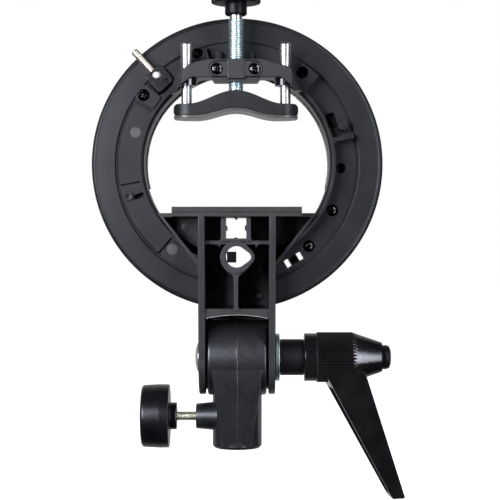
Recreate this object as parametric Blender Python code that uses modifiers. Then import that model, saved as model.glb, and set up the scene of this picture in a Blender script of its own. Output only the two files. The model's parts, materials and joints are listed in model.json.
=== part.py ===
"""Speedlight bracket: a bayonet ring with a flash-head clamp, tilting on a light-stand socket.

Millimetres throughout, scaled to metres when a mesh is made. +X is to the user's right, +Y points
at the light modifier and +Z is up. The origin is the roof of the socket bore, where the stand's
spigot ends.
"""
import math

import bmesh
import bpy
from mathutils import Matrix, Vector

MM = 0.001
GAP = 0.3                      # clearance between pieces that touch
FINE, MEDIUM, COARSE = 72, 32, 20   # segments round large, middling and small circles

# stand socket and tilt pivot
PIVOT_Z = 13.5
SPIGOT_BORE = 8.15             # radius, for a 16 mm stand spigot
RECEIVER_R = 13.5
SOCKET_BOTTOM = -36.0
DRUM_R, DRUM_HALF = 21.0, 16.0
BOLT_R = 4.0
EAR_IN, EAR_OUT, EAR_R = 17.1, 20.7, 20.2
DISC_GAP = 0.2                 # the friction discs are pinched, so they sit closer than GAP
TIP_Z = -18.8                  # height of the thumbscrew
STUD_R = 2.5

# ring
RING_Z = 119.4
BORE_R, RIM_R = 50.4, 79.5
REAR_Y, FRONT_Y = -14.0, 12.0
PLATEAU_IN, PLATEAU_OUT = 52.2, 64.8
RECESS_R, GALLERY_R = 74.3, 56.0
RECESS_Y = 10.6
PLATE_IN, PLATE_THICK = 50.0, 2.0
SCREW_PLACES = ((144.0, 62.3), (109.9, 63.6), (54.3, 60.4), (-26.0, 57.9), (-48.9, 59.6), (233.2, 60.0))
SURFACE_SCREWS = 2             # the first two have their heads near the surface
WINDOW_ANGLE = -59.3

# arm between ring and pivot
ARM_REAR, ARM_FRONT = -31.0, 9.0   # at the shelf; the ears below are round
TUBE_REAR, RIB_REAR = -26.0, -24.0
FLOOR_Y = 6.0
SHELF_Z, SHELF_THICK = 92.4, 2.2
BAR_BOTTOM, BAR_TOP, BAR_REAR = 36.2, 40.6, -22.5
UMBRELLA_X, UMBRELLA_Z, UMBRELLA_R, UMBRELLA_WALL = -0.45, 68.6, 5.9, 2.6
REST_HALF, REST_THICK = 34.5, 2.6

# flash-head clamp
CLAMP_X, CLAMP_Y = -0.5, -22.5
ROD_SPACING, ROD_R = 26.4, 3.2
ROD_TOP = 183.3
BRIDGE_TOP, BRIDGE_BOTTOM = 173.7, 163.9
BRIDGE_REAR, BRIDGE_FRONT = -30.5, -14.5
LEG_FRONT = -9.0
HOUSING_BOTTOM = 160.4
SPINDLE_R = 4.0
JAW_HALF, JAW_DEPTH = 33.2, 12.0
JAW_TOP, JAW_SHOULDER = 156.6, 149.6
JAW_END_BOTTOM, JAW_MID_BOTTOM = 143.7, 147.6
KNOB_BOTTOM, KNOB_RIM_BOTTOM, KNOB_TOP = 196.7, 200.9, 213.5
KNOB_R, KNOB_HUB_R = 13.2, 5.9
COVER_SCREW_X, COVER_Z, COVER_R = 10.0, 168.4, 4.1
COVER_BLOCK_HALF, COVER_BLOCK_BOTTOM = 4.6, 163.1

# modifier lock
LOCK_ANGLE = 132.6
LOCK_R = 64.1
BLOCK_IN, BLOCK_OUT, BLOCK_HALF = 55.6, 67.4, 5.6
PIN_R = 2.2

# clamping lever
SLEEVE_START, SLEEVE_END, SLEEVE_R = 23.5, 36.4, 9.9
HUB_START, BARREL_START, CONE_START, HUB_END = 36.7, 43.5, 63.8, 79.5
HUB_R, CONE_END_R = 13.75, 8.1
CHAMBER_R, SPLINE_BORE_R, INSERT_END = 7.0, 9.6, 60.9
BLADE_HALF = 12.0

SIDES = ((-1, "left"), (1, "right"))
ALONG_X = (0.0, math.pi / 2, 0.0)
ALONG_Y = (-math.pi / 2, 0.0, 0.0)
ALONG_Z = (0.0, 0.0, 0.0)


def clear_scene():
    for obj in list(bpy.data.objects):
        bpy.data.objects.remove(obj, do_unlink=True)


def new_collection(name):
    group = bpy.data.collections.new(name)
    bpy.context.scene.collection.children.link(group)
    return group


def finish_material(name, colour, roughness, metallic):
    mat = bpy.data.materials.new(name)
    mat.use_nodes = True
    shader = mat.node_tree.nodes["Principled BSDF"]
    shader.inputs["Base Color"].default_value = (*colour, 1.0)
    shader.inputs["Roughness"].default_value = roughness
    shader.inputs["Metallic"].default_value = metallic
    return mat


def black_plastic(name):
    return finish_material(name, (0.035, 0.036, 0.040), 0.45, 0.0)


def gloss_plastic(name):
    return finish_material(name, (0.012, 0.012, 0.014), 0.22, 0.0)


def black_steel(name):
    return finish_material(name, (0.03, 0.03, 0.032), 0.35, 0.9)


def zinc_steel(name):
    return finish_material(name, (0.60, 0.66, 0.72), 0.3, 1.0)


def chrome(name):
    return finish_material(name, (0.80, 0.80, 0.82), 0.12, 1.0)


def spring_steel(name):
    return finish_material(name, (0.50, 0.50, 0.52), 0.3, 1.0)


def brass(name):
    return finish_material(name, (0.72, 0.55, 0.25), 0.3, 1.0)


def black_rubber(name):
    return finish_material(name, (0.02, 0.02, 0.02), 0.8, 0.0)


def die_cast(name):
    return finish_material(name, (0.045, 0.047, 0.052), 0.42, 0.3)


def mesh_object(name, shape, place=(0.0, 0.0, 0.0), turn=ALONG_Z):
    """Turn a bmesh in millimetres into an object; place is in millimetres too."""
    bmesh.ops.scale(shape, vec=(MM, MM, MM), verts=shape.verts)
    mesh = bpy.data.meshes.new(name)
    shape.to_mesh(mesh)
    shape.free()
    obj = bpy.data.objects.new(name, mesh)
    obj.location = Vector(place) * MM
    obj.rotation_euler = turn
    CONSTRUCTION.objects.link(obj)
    return obj


def box(name, low, high):
    shape = bmesh.new()
    bmesh.ops.create_cube(shape, size=1.0)
    size = Vector(high) - Vector(low)
    bmesh.ops.scale(shape, vec=size, verts=shape.verts)
    return mesh_object(name, shape, (Vector(low) + Vector(high)) / 2)


def rod(name, centre, turn, start, end, radius, segments=COARSE, end_radius=None):
    """A cylinder or cone from start to end along the turned axis through centre."""
    shape = bmesh.new()
    tip = radius if end_radius is None else end_radius
    bmesh.ops.create_cone(
        shape, cap_ends=True, segments=segments, radius1=radius, radius2=tip, depth=end - start)
    bmesh.ops.translate(shape, vec=(0, 0, (start + end) / 2), verts=shape.verts)
    return mesh_object(name, shape, centre, turn)


def turned(name, profile, centre, turn, segments=MEDIUM, hollow=False):
    """A profile of (radius, height) points, listed down its outer side, spun by a Screw modifier."""
    shape = bmesh.new()
    points = [shape.verts.new((radius, 0, height)) for radius, height in profile]
    for first, second in zip(points, points[1:]):
        shape.edges.new((first, second))
    if hollow:
        shape.edges.new((points[-1], points[0]))
    obj = mesh_object(name, shape, centre, turn)
    screw = obj.modifiers.new("turn", "SCREW")
    screw.steps = segments
    screw.render_steps = segments
    screw.use_merge_vertices = True
    screw.merge_threshold = 0.00001
    return obj


def tube(name, centre, turn, start, end, outer, inner, segments=COARSE):
    profile = ((outer, end), (outer, start), (inner, start), (inner, end))
    return turned(name, profile, centre, turn, segments, hollow=True)


def curve_to_mesh(obj):
    """Replace a curve by its own mesh, so that it can be cut."""
    bpy.context.view_layer.update()
    graph = bpy.context.evaluated_depsgraph_get()
    mesh = bpy.data.meshes.new_from_object(obj.evaluated_get(graph))
    name, matrix = obj.name, obj.matrix_world.copy()
    bpy.data.objects.remove(obj, do_unlink=True)
    shape = bmesh.new()
    shape.from_mesh(mesh)
    bmesh.ops.remove_doubles(shape, verts=shape.verts, dist=0.000001)
    shape.to_mesh(mesh)
    shape.free()
    solid = bpy.data.objects.new(name, mesh)
    solid.matrix_world = matrix
    CONSTRUCTION.objects.link(solid)
    return solid


def plate(name, outline, start, end, facing="Y", holes=()):
    """A flat outline of (across, up) points, from start to end along Y or X."""
    curve = bpy.data.curves.new(name, "CURVE")
    curve.dimensions = "2D"
    curve.fill_mode = "BOTH"
    curve.resolution_u = 1
    curve.extrude = (end - start) / 2 * MM
    for loop in (outline, *holes):
        spline = curve.splines.new("POLY")
        spline.points.add(len(loop) - 1)
        for point, (across, up) in zip(spline.points, loop):
            point.co = (across * MM, up * MM, 0.0, 1.0)
        spline.use_cyclic_u = True
    obj = bpy.data.objects.new(name, curve)
    middle = (start + end) / 2 * MM
    if facing == "Y":
        obj.rotation_euler = (math.pi / 2, 0.0, 0.0)
        obj.location = (0.0, middle, 0.0)
    else:
        obj.rotation_euler = (math.pi / 2, 0.0, math.pi / 2)
        obj.location = (middle, 0.0, 0.0)
    CONSTRUCTION.objects.link(obj)
    return curve_to_mesh(obj)


def arc(centre, radius, start_deg, end_deg, steps):
    """Points round part of a circle, in the plane of an outline."""
    points = []
    for step in range(steps + 1):
        angle = math.radians(start_deg + (end_deg - start_deg) * step / steps)
        points.append((centre[0] + radius * math.cos(angle), centre[1] + radius * math.sin(angle)))
    return points


def sector(inner, outer, low_deg, high_deg, steps=14):
    """The outline of part of the ring between two radii and two angles."""
    centre = (0, RING_Z)
    return arc(centre, outer, low_deg, high_deg, steps) + arc(centre, inner, high_deg, low_deg, steps)


def on_ring(angle_deg, radius):
    """The X and Z of a place on the ring, by its angle from +X and its radius."""
    angle = math.radians(angle_deg)
    return radius * math.cos(angle), RING_Z + radius * math.sin(angle)


def coil(name, centre, turn, start, end, radius, wire, turns):
    curve = bpy.data.curves.new(name, "CURVE")
    curve.dimensions = "3D"
    curve.bevel_depth = wire * MM
    curve.bevel_resolution = 1
    curve.use_fill_caps = True
    spline = curve.splines.new("POLY")
    count = turns * 10
    spline.points.add(count)
    for index, point in enumerate(spline.points):
        angle = 2 * math.pi * index / 10
        height = start + wire + (end - start - 2 * wire) * index / count
        point.co = (radius * math.cos(angle) * MM, radius * math.sin(angle) * MM, height * MM, 1.0)
    obj = bpy.data.objects.new(name, curve)
    obj.location = Vector(centre) * MM
    obj.rotation_euler = turn
    CONSTRUCTION.objects.link(obj)
    return obj


def combine(target, tool, operation):
    modifier = target.modifiers.new(tool.name, "BOOLEAN")
    modifier.object = tool
    modifier.operation = operation
    modifier.solver = "EXACT"
    tool.hide_render = True
    tool.display_type = "WIRE"


def add(target, *tools):
    for tool in tools:
        combine(target, tool, "UNION")


def cut(target, *tools):
    for tool in tools:
        combine(target, tool, "DIFFERENCE")


def soften(obj, width, segments=1):
    bevel = obj.modifiers.new("edges", "BEVEL")
    bevel.width = width * MM
    bevel.segments = segments
    bevel.limit_method = "ANGLE"
    bevel.angle_limit = math.radians(40)


def publish(obj, name, mat, parent):
    """Make an object a named piece of the bracket, with its material, on its axis."""
    obj.name = name
    obj.data.name = name
    obj.data.materials.clear()
    obj.data.materials.append(mat)
    CONSTRUCTION.objects.unlink(obj)
    BRACKET.objects.link(obj)
    if parent is not None:
        bpy.context.view_layer.update()
        obj.parent = parent
        obj.matrix_parent_inverse = parent.matrix_world.inverted()
    return obj


def axis_empty(name, place, parent=None):
    empty = bpy.data.objects.new(name, None)
    empty.empty_display_size = 0.01
    BRACKET.objects.link(empty)
    empty.location = Vector(place) * MM
    if parent is not None:
        bpy.context.view_layer.update()
        empty.parent = parent
        empty.matrix_parent_inverse = parent.matrix_world.inverted()
    bpy.context.view_layer.update()
    return empty


# ---------------------------------------------------------------- stand socket

def tapered_neck():
    """The wedge that blends the pivot drum into the round receiver, steeper below its crease."""
    levels = ((PIVOT_Z, 14.1, 20.7), (-3.0, 12.6, 19.2), (SOCKET_BOTTOM + 1.0, 7.4, 12.6))
    shape = bmesh.new()
    rings = []
    for height, half_x, half_y in levels:
        corners = ((-half_x, -half_y), (half_x, -half_y), (half_x, half_y), (-half_x, half_y))
        rings.append([shape.verts.new((x, y, height)) for x, y in corners])
    for upper, lower in zip(rings, rings[1:]):
        for index in range(4):
            shape.faces.new((upper[index], upper[index - 1], lower[index - 1], lower[index]))
    shape.faces.new(rings[0])
    shape.faces.new(rings[-1])
    bmesh.ops.recalc_face_normals(shape, faces=shape.faces)
    return mesh_object("neck", shape)


def stand_socket():
    pivot = (0, 0, PIVOT_Z)
    drum = ((0, DRUM_HALF), (DRUM_R - 1.8, DRUM_HALF), (DRUM_R, DRUM_HALF - 1.8), (DRUM_R, 1.8 - DRUM_HALF),
            (DRUM_R - 1.8, -DRUM_HALF), (0, -DRUM_HALF))
    body = turned("socket_drum", drum, pivot, ALONG_X, 48)
    receiver = ((0, 4), (RECEIVER_R, 4), (RECEIVER_R, SOCKET_BOTTOM + 1.2),
                (RECEIVER_R - 1.2, SOCKET_BOTTOM), (0, SOCKET_BOTTOM))
    add(body, turned("receiver", receiver, (0, 0, 0), ALONG_Z, 40), tapered_neck())
    add(body, rod("boss", (0, 0, TIP_Z), ALONG_X, -22.6, -10.0, 6.8, 28, 8.0))
    cut(body, rod("spigot_bore", (0, 0, 0), ALONG_Z, SOCKET_BOTTOM - 1, 0, SPIGOT_BORE, 40))
    cut(body, rod("bolt_bore", pivot, ALONG_X, -20, 20, BOLT_R + GAP, 24))
    cut(body, rod("insert_bore", (0, 0, TIP_Z), ALONG_X, -24, -16.4, 3.7 + GAP, 24))
    cut(body, rod("tip_bore", (0, 0, TIP_Z), ALONG_X, -18, -4, 3.0 + GAP, 24))
    return publish(body, "stand_socket", die_cast("socket_casting"), None)


def socket_thread_insert():
    insert = tube("insert", (0, 0, TIP_Z), ALONG_X, -22.3, -16.7, 3.7, STUD_R + GAP, 24)
    return publish(insert, "socket_thread_insert", brass("insert_brass"), None)


def thumbscrew(axis):
    centre = (0, 0, TIP_Z)
    tip = rod("tip", centre, ALONG_X, -11.2, -8.3, 3.0, 24)
    publish(tip, "pressure_tip", brass("tip_brass"), axis)
    stud = rod("stud", centre, ALONG_X, -47.5, -11.5, STUD_R, 24)
    publish(stud, "thumbscrew_stud", spring_steel("stud_steel"), axis)
    profile = ((STUD_R + GAP, -33.2), (7.2, -33.2), (7.4, -33.6), (7.4, -37.4), (15.9, -37.4),
               (17.4, -38.8), (17.4, -49.6), (15.4, -52.2), (12.5, -53.0), (9.6, -53.0), (9.6, -51.6),
               (STUD_R + GAP, -51.6))
    knob = turned("knob", profile, centre, ALONG_X, 40, hollow=True)
    publish(knob, "thumbscrew_knob", black_plastic("knob_plastic"), axis)
    cap = rod("cap", centre, ALONG_X, -52.9, -51.9, 9.3, 32)
    publish(cap, "knob_end_cap", gloss_plastic("cap_plastic"), axis)


# ---------------------------------------------------------------- ring and arm

def ring_profile():
    """The ring's section as (radius, distance toward the rear), listed down its outer side."""
    return ((PLATEAU_IN, 14.0), (PLATEAU_OUT, 14.0), (66.0, 12.8), (66.0, 7.6), (78.4, 5.0),
            (RIM_R, 3.8), (RIM_R, 1 - FRONT_Y), (RIM_R - 1, -FRONT_Y), (RECESS_R, -FRONT_Y),
            (RECESS_R, -RECESS_Y), (GALLERY_R, -RECESS_Y), (GALLERY_R, -4.0), (BORE_R, -4.0),
            (BORE_R, 12.2))


def umbrella_outline(grow):
    """A round hole with a blunt nose to the right, grown outward by a wall."""
    big = arc((UMBRELLA_X, UMBRELLA_Z), UMBRELLA_R + grow, 50, 310, 20)
    nose = arc((UMBRELLA_X + 5.2, UMBRELLA_Z), 2.8 + grow, -50, 50, 6)
    return big + nose


def arm_wall(name, start, end):
    """One side of the arm: a round ear at the pivot that rises to the ring's shelf."""
    ear = arc((0, PIVOT_Z), EAR_R, 180, 360, 18)
    outline = ear + [(EAR_R, PIVOT_Z + 10), (ARM_FRONT, 52), (ARM_FRONT, SHELF_Z), (ARM_REAR, SHELF_Z),
                     (ARM_REAR, 80)]
    return plate(name, outline, start, end, "X")


def add_arm(frame):
    add(frame, arm_wall("wall_left", -EAR_OUT, -EAR_IN), arm_wall("wall_right", EAR_IN, EAR_OUT))
    web = [(-43.5, SHELF_Z), (-24, 62), (24, 62), (43.5, SHELF_Z)]
    add(frame, plate("web", web, REAR_Y + 0.4, FLOOR_Y - 1))
    add(frame, box("floor", (-EAR_OUT, FLOOR_Y, BAR_TOP - 2), (EAR_OUT, ARM_FRONT, SHELF_Z)))
    add(frame, box("shelf", (-REST_HALF, ARM_REAR, SHELF_Z - SHELF_THICK), (REST_HALF, REAR_Y + 2, SHELF_Z)))
    add(frame, box("bar", (-EAR_OUT, BAR_REAR, BAR_BOTTOM), (EAR_OUT, ARM_FRONT, BAR_TOP)))
    cavity = box("cavity", (-EAR_IN - 0.6, -40, BAR_TOP), (EAR_IN + 0.6, FLOOR_Y, SHELF_Z - SHELF_THICK))
    cut(frame, cavity)
    for side in (-1, 1):
        corner = [(side * 40.6, 90.2), (side * 21.3, 90.2), (side * 21.3, 66.0)]
        cut(frame, plate("pocket", corner, -30, 1.5))


def add_saddle(frame):
    """The web under the bar, hollowed so that it follows the drum as the head tilts."""
    saddle = box("saddle", (-EAR_IN - 1, 3.0, 30.4), (EAR_IN + 1, 9.4, BAR_TOP - 1))
    cut(saddle, rod("drum_room", (0, 0, PIVOT_Z), ALONG_X, -30, 30, DRUM_R + 1.3, 48))
    add(frame, saddle)


def add_tubes(frame):
    add(frame, plate("umbrella_wall", umbrella_outline(UMBRELLA_WALL), TUBE_REAR, ARM_FRONT))
    square = [(-8.6, SHELF_Z - 1), (-8.6, 77.2), (7.4, 77.2), (7.4, SHELF_Z - 1)]
    add(frame, plate("square_wall", square, TUBE_REAR, ARM_FRONT))
    add(frame, box("cross_rib", (-EAR_IN - 1, RIB_REAR, 75.4), (EAR_IN + 1, FLOOR_Y + 1, 77.4)))
    add(frame, box("long_rib", (-1.6, RIB_REAR, BAR_TOP - 1), (0.6, FLOOR_Y + 1, 61.5)))
    cut(frame, plate("umbrella_hole", umbrella_outline(0), -40, 30))
    hole = [(-6.2, 90.0), (-6.2, 78.6), (5.0, 78.6), (5.0, 90.0)]
    cut(frame, plate("square_hole", hole, -40, 30))


def bridge_outline():
    crown = [(-35.9, 156.4), (-33.8, 162.6), (-31.6, 166.0), (-27.6, 169.2), (-14.2, BRIDGE_TOP),
             (13.2, BRIDGE_TOP), (28.2, 169.4), (30.2, 166.0), (31.6, 161.6), (35.0, 157.6)]
    belly = [(31.4, 157.4), (28.4, 160.2), (23.4, BRIDGE_BOTTOM), (-24.0, BRIDGE_BOTTOM), (-30.2, 159.6),
             (-33.0, 156.0)]
    return crown + belly


def add_bridge(frame):
    cut(frame, plate("top_recess", sector(BORE_R - 4, 66.2, 57, 105), -40, -8.6))
    bridge = plate("bridge", bridge_outline(), BRIDGE_REAR, LEG_FRONT)
    cut(bridge, box("bridge_back", (-27.0, BRIDGE_FRONT, 150), (27.0, 0, 180)))
    add(frame, bridge)
    housing = [(-12.2, BRIDGE_BOTTOM + 1), (-10.0, HOUSING_BOTTOM), (9.0, HOUSING_BOTTOM),
               (11.2, BRIDGE_BOTTOM + 1)]
    add(frame, plate("housing", housing, BRIDGE_REAR + 2, BRIDGE_FRONT - 2))
    for side in (-1, 1):
        place = (CLAMP_X + side * ROD_SPACING, CLAMP_Y, 0)
        cut(frame, rod("bush_bore", place, ALONG_Z, 160, 190, 4.7 + GAP, 24))
        cut(frame, rod("flange_room", place, ALONG_Z, 140, BRIDGE_BOTTOM, 5.6 + GAP, 24))
    cut(frame, rod("spindle_bore", (CLAMP_X, CLAMP_Y, 0), ALONG_Z, 150, 190, SPINDLE_R + 0.6, 24))
    pocket = box("nut_pocket", (CLAMP_X - 6.4, BRIDGE_REAR + 2.2, 162.6),
                 (CLAMP_X + 6.4, CLAMP_Y + 6.4, 171.0))
    cut(frame, pocket)
    cut(frame, plate("cover_seat", cover_outline(GAP), -40, BRIDGE_REAR + 2.5))
    block_room = box("block_seat", (CLAMP_X - COVER_BLOCK_HALF - GAP, -40, COVER_BLOCK_BOTTOM - GAP),
                     (CLAMP_X + COVER_BLOCK_HALF + GAP, BRIDGE_REAR + 2.5, BRIDGE_TOP + 1))
    cut(frame, block_room)
    for side in (-1, 1):
        centre = (CLAMP_X + side * COVER_SCREW_X, BRIDGE_REAR, COVER_Z)
        cut(frame, rod("cover_screw_hole", centre, ALONG_Y, -2, 11, 1.8, 16))


def cover_outline(grow):
    left = arc((CLAMP_X - COVER_SCREW_X, COVER_Z), COVER_R + grow, 90, 270, 10)
    right = arc((CLAMP_X + COVER_SCREW_X, COVER_Z), COVER_R + grow, 270, 450, 10)
    return left + right


def cut_screw_holes(frame):
    for index, (angle, radius) in enumerate(SCREW_PLACES):
        x, z = on_ring(angle, radius)
        seat = screw_seat(index)
        cut(frame, rod("screw_well", (x, 0, z), ALONG_Y, -20, seat, 3.3, 20))
        cut(frame, rod("screw_hole", (x, 0, z), ALONG_Y, seat - 1, 20, 1.5 + GAP, 16))


def add_side_recesses(frame):
    """Two sunk panels and a moulding hole on the right of the ring's rear face."""
    for low, high in ((-50, 12), (20, 47)):
        cut(frame, plate("side_recess", sector(54.2, 64.0, low, high), -20, -10.5))
    x, z = on_ring(-2.4, 56.6)
    cut(frame, rod("moulding_hole", (x, 0, z), ALONG_Y, -20, 0, 2.8, 20))


def cut_window(target):
    """Two slots beside each other, right through, that show the locked modifier."""
    for offset in (-3.9, 3.9):
        slot = box("window", (58.6, -30, offset - 1.3), (63.2, 30, offset + 1.3))
        bpy.context.view_layer.update()
        turn = Matrix.Rotation(-math.radians(WINDOW_ANGLE), 4, "Y")
        slot.matrix_world = Matrix.Translation(Vector((0, 0, RING_Z)) * MM) @ turn @ slot.matrix_world
        cut(target, slot)


def screw_seat(index):
    return -10.0 if index < SURFACE_SCREWS else -2.0


def lock_frame():
    """A matrix whose X is outward at the lock, whose Y is the bracket's and whose origin is the ring's."""
    centre = Matrix.Translation(Vector((0, 0, RING_Z)) * MM)
    return centre @ Matrix.Rotation(-math.radians(LOCK_ANGLE), 4, "Y")


def turn_to_lock(obj):
    bpy.context.view_layer.update()
    obj.matrix_world = lock_frame() @ obj.matrix_world
    return obj


def cut_lock_room(frame):
    half = BLOCK_HALF + 0.5
    slot = box("block_room", (BLOCK_IN - 0.5, -30, -half), (BLOCK_OUT + 0.5, -7.5, half))
    cut(frame, turn_to_lock(slot))
    cut(frame, turn_to_lock(box("rod_groove", (60, -30, -2.6), (90, -7.5, 2.6))))
    cut(frame, turn_to_lock(rod("pin_hole", (LOCK_R, 0, 0), ALONG_Y, -20, 20, PIN_R + GAP, 20)))
    cut(frame, turn_to_lock(rod("spring_room", (LOCK_R, 0, 0), ALONG_Y, -4.0, 20, 4.4, 20)))


def ring_frame(axis):
    frame = turned("ring_body", ring_profile(), (0, 0, RING_Z), (math.pi / 2, 0, 0), FINE, hollow=True)
    add_side_recesses(frame)
    add_arm(frame)
    add_saddle(frame)
    add_tubes(frame)
    add_bridge(frame)
    cut_screw_holes(frame)
    cut_lock_room(frame)
    cut_window(frame)
    cut(frame, rod("ear_bore", (0, 0, PIVOT_Z), ALONG_X, -30, 30, BOLT_R + GAP, 24))
    return publish(frame, "ring_frame", black_plastic("frame_nylon"), axis)


def bayonet_ring(axis):
    """The metal plate that takes a modifier's three lugs."""
    outer, inner = RECESS_R - GAP, PLATE_IN
    profile = ((inner, PLATE_THICK), (outer, PLATE_THICK), (outer, 0), (inner, 0))
    plate_ring = turned("plate_ring", profile, (0, RECESS_Y + GAP, RING_Z), ALONG_Y, FINE, hollow=True)
    for lug in range(3):
        cut(plate_ring, plate("lug_slot", sector(45, 54.6, 75 + 120 * lug, 105 + 120 * lug, 6), 5, 20))
    cut(plate_ring, plate("shaft_gap", umbrella_outline(1.0), 5, 20))
    cut_window(plate_ring)
    for angle, radius in SCREW_PLACES:
        x, z = on_ring(angle, radius)
        cut(plate_ring, rod("tapped_hole", (x, 0, z), ALONG_Y, 5, 20, 1.5 + GAP, 16))
    cut(plate_ring, turn_to_lock(rod("plate_pin_hole", (LOCK_R, 0, 0), ALONG_Y, 5, 20, PIN_R + GAP, 20)))
    steel = finish_material("plate_steel", (0.62, 0.62, 0.64), 0.3, 1.0)
    return publish(plate_ring, "bayonet_ring", steel, axis)


def bayonet_screws(axis):
    for index, (angle, radius) in enumerate(SCREW_PLACES):
        x, z = on_ring(angle, radius)
        seat = screw_seat(index) - GAP
        profile = ((0, 12.4), (1.5, 12.4), (1.5, seat), (2.9, seat), (2.9, seat - 1.4), (2.2, seat - 2.2),
                   (0, seat - 2.2))
        screw = turned("screw", profile, (x, 0, z), ALONG_Y, 16)
        publish(screw, f"bayonet_screw_{index + 1}", black_steel("screw_steel"), axis)


def rest_pad(axis):
    pad = box("pad", (-REST_HALF, ARM_REAR - 0.4, SHELF_Z + GAP), (REST_HALF, 2.0, SHELF_Z + GAP + REST_THICK))
    soften(pad, 0.6)
    return publish(pad, "rest_pad", black_rubber("rest_rubber"), axis)


def clamp_nut_and_cover(axis):
    nut = box("nut", (CLAMP_X - 6.1, CLAMP_Y - 5.2, 162.9), (CLAMP_X + 6.1, CLAMP_Y + 6.1, 170.7))
    cut(nut, rod("nut_thread", (CLAMP_X, CLAMP_Y, 0), ALONG_Z, 150, 190, SPINDLE_R + GAP, 24))
    publish(nut, "spindle_nut", spring_steel("nut_steel"), axis)
    cover = plate("cover", cover_outline(0), BRIDGE_REAR - 0.2, BRIDGE_REAR + 2.2)
    block = box("cover_block", (CLAMP_X - COVER_BLOCK_HALF, BRIDGE_REAR - 0.8, COVER_BLOCK_BOTTOM),
                (CLAMP_X + COVER_BLOCK_HALF, BRIDGE_REAR + 2.2, BRIDGE_TOP))
    add(cover, block)
    for side in (-1, 1):
        centre = (CLAMP_X + side * COVER_SCREW_X, BRIDGE_REAR, COVER_Z)
        cut(cover, rod("cover_hole", centre, ALONG_Y, -3, 4, 1.8, 16))
        cut(cover, rod("head_well", centre, ALONG_Y, -3, 1.6, 3.0 + GAP, 20))
    publish(cover, "nut_cover", black_plastic("cover_nylon"), axis)
    for side, word in SIDES:
        profile = ((0, 9.5), (1.5, 9.5), (1.5, 1.3), (2.9, 1.3), (2.9, 0.1), (2.3, -0.5), (0, -0.5))
        centre = (CLAMP_X + side * COVER_SCREW_X, BRIDGE_REAR, COVER_Z)
        screw = turned("cover_screw", profile, centre, ALONG_Y, 16)
        publish(screw, f"nut_cover_screw_{word}", black_steel("cover_screw_steel"), axis)


def guide_bushes(axis):
    """Flanged sleeves pressed up into the bridge, in which the guide rods slide."""
    for side, word in SIDES:
        top, bottom = 167.0, 159.9
        profile = ((4.7, top), (4.7, BRIDGE_BOTTOM - GAP), (5.6, BRIDGE_BOTTOM - GAP), (5.6, bottom),
                   (ROD_R + GAP, bottom), (ROD_R + GAP, top))
        place = (CLAMP_X + side * ROD_SPACING, CLAMP_Y, 0)
        bush = turned("bush", profile, place, ALONG_Z, 24, hollow=True)
        publish(bush, f"guide_bush_{word}", gloss_plastic("bush_acetal"), axis)


def umbrella_clip(axis):
    """A sprung tongue in the umbrella hole that pinches the shaft."""
    low, high = UMBRELLA_Z - 2.9, UMBRELLA_Z + 2.9
    clip = box("tongue", (-5.3, TUBE_REAR + 1.0, low), (-0.3, TUBE_REAR + 5.0, high))
    foot = box("clip_foot", (-5.3, TUBE_REAR + 4.0, low), (-4.3, ARM_FRONT - 1.0, high))
    add(clip, foot)
    return publish(clip, "umbrella_clip", gloss_plastic("clip_acetal"), axis)


# ---------------------------------------------------------------- swivel

def swivel(axis):
    pivot = (0, 0, PIVOT_Z)
    bolt = ((0, 56.0), (BOLT_R, 56.0), (BOLT_R, -21.0), (8.3, -21.0), (8.3, -21.5), (6.6, -22.4),
            (3.5, -22.9), (0, -23.0))
    publish(turned("bolt", bolt, pivot, ALONG_X, 32), "swivel_bolt", chrome("bolt_chrome"), axis)
    washer = tube("washer", pivot, ALONG_X, 21.0, 23.2, 13.0, BOLT_R + GAP, 40)
    publish(washer, "swivel_washer", zinc_steel("washer_zinc"), axis)
    for side, word in SIDES:
        start, end = sorted((side * (DRUM_HALF + DISC_GAP), side * (EAR_IN - DISC_GAP)))
        disc = tube("disc", pivot, ALONG_X, start, end, 17.5, BOLT_R + GAP, 32)
        publish(disc, f"friction_disc_{word}", black_rubber("disc_fibre"), axis)


def spacer_sleeve(axis):
    sleeve = tube("sleeve", (0, 0, PIVOT_Z), ALONG_X, SLEEVE_START, SLEEVE_END, SLEEVE_R, BOLT_R + GAP, 40)
    return publish(sleeve, "spacer_sleeve", black_plastic("sleeve_nylon"), axis)


def lever_nut(axis):
    """The threaded insert with its splines, and the screw and spring that hold the handle on it."""
    pivot = (0, 0, PIVOT_Z)
    bored = ((7.4, INSERT_END), (7.4, HUB_START), (BOLT_R + GAP, HUB_START), (BOLT_R + GAP, 56.5),
             (2.5 + GAP, 56.5), (2.5 + GAP, INSERT_END))
    insert = turned("insert_body", bored, pivot, ALONG_X, 32, hollow=True)
    for tooth in range(10):
        angle = 2 * math.pi * tooth / 10
        centre = (0, 8.0 * math.sin(angle), PIVOT_Z + 8.0 * math.cos(angle))
        add(insert, rod("spline", centre, ALONG_X, HUB_START, 46.0, 1.2, 8))
    publish(insert, "lever_insert", spring_steel("insert_steel"), axis)
    cap = ((0, 84.3), (4.4, 84.2), (6.2, 83.2), (6.7, 81.8), (6.7, 77.4), (2.5, 77.4), (2.5, 57.0),
           (0, 57.0))
    publish(turned("screw_cap", cap, pivot, ALONG_X, 28), "lever_screw", gloss_plastic("button_black"), axis)
    spring = coil("spring", pivot, ALONG_X, 67.3, 77.1, 5.4, 0.6, 4)
    publish(spring, "lever_spring", spring_steel("lever_spring_steel"), axis)


def narrowed(blade):
    """Narrows a blade evenly from the hub to its tip."""
    bpy.context.view_layer.update()
    to_world = blade.matrix_world.copy()
    for vert in blade.data.vertices:
        place = to_world @ vert.co
        place.y *= 1.0 - 0.4 * (PIVOT_Z - place.z / MM) / 77.0
        vert.co = to_world.inverted() @ place
    return blade


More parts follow.
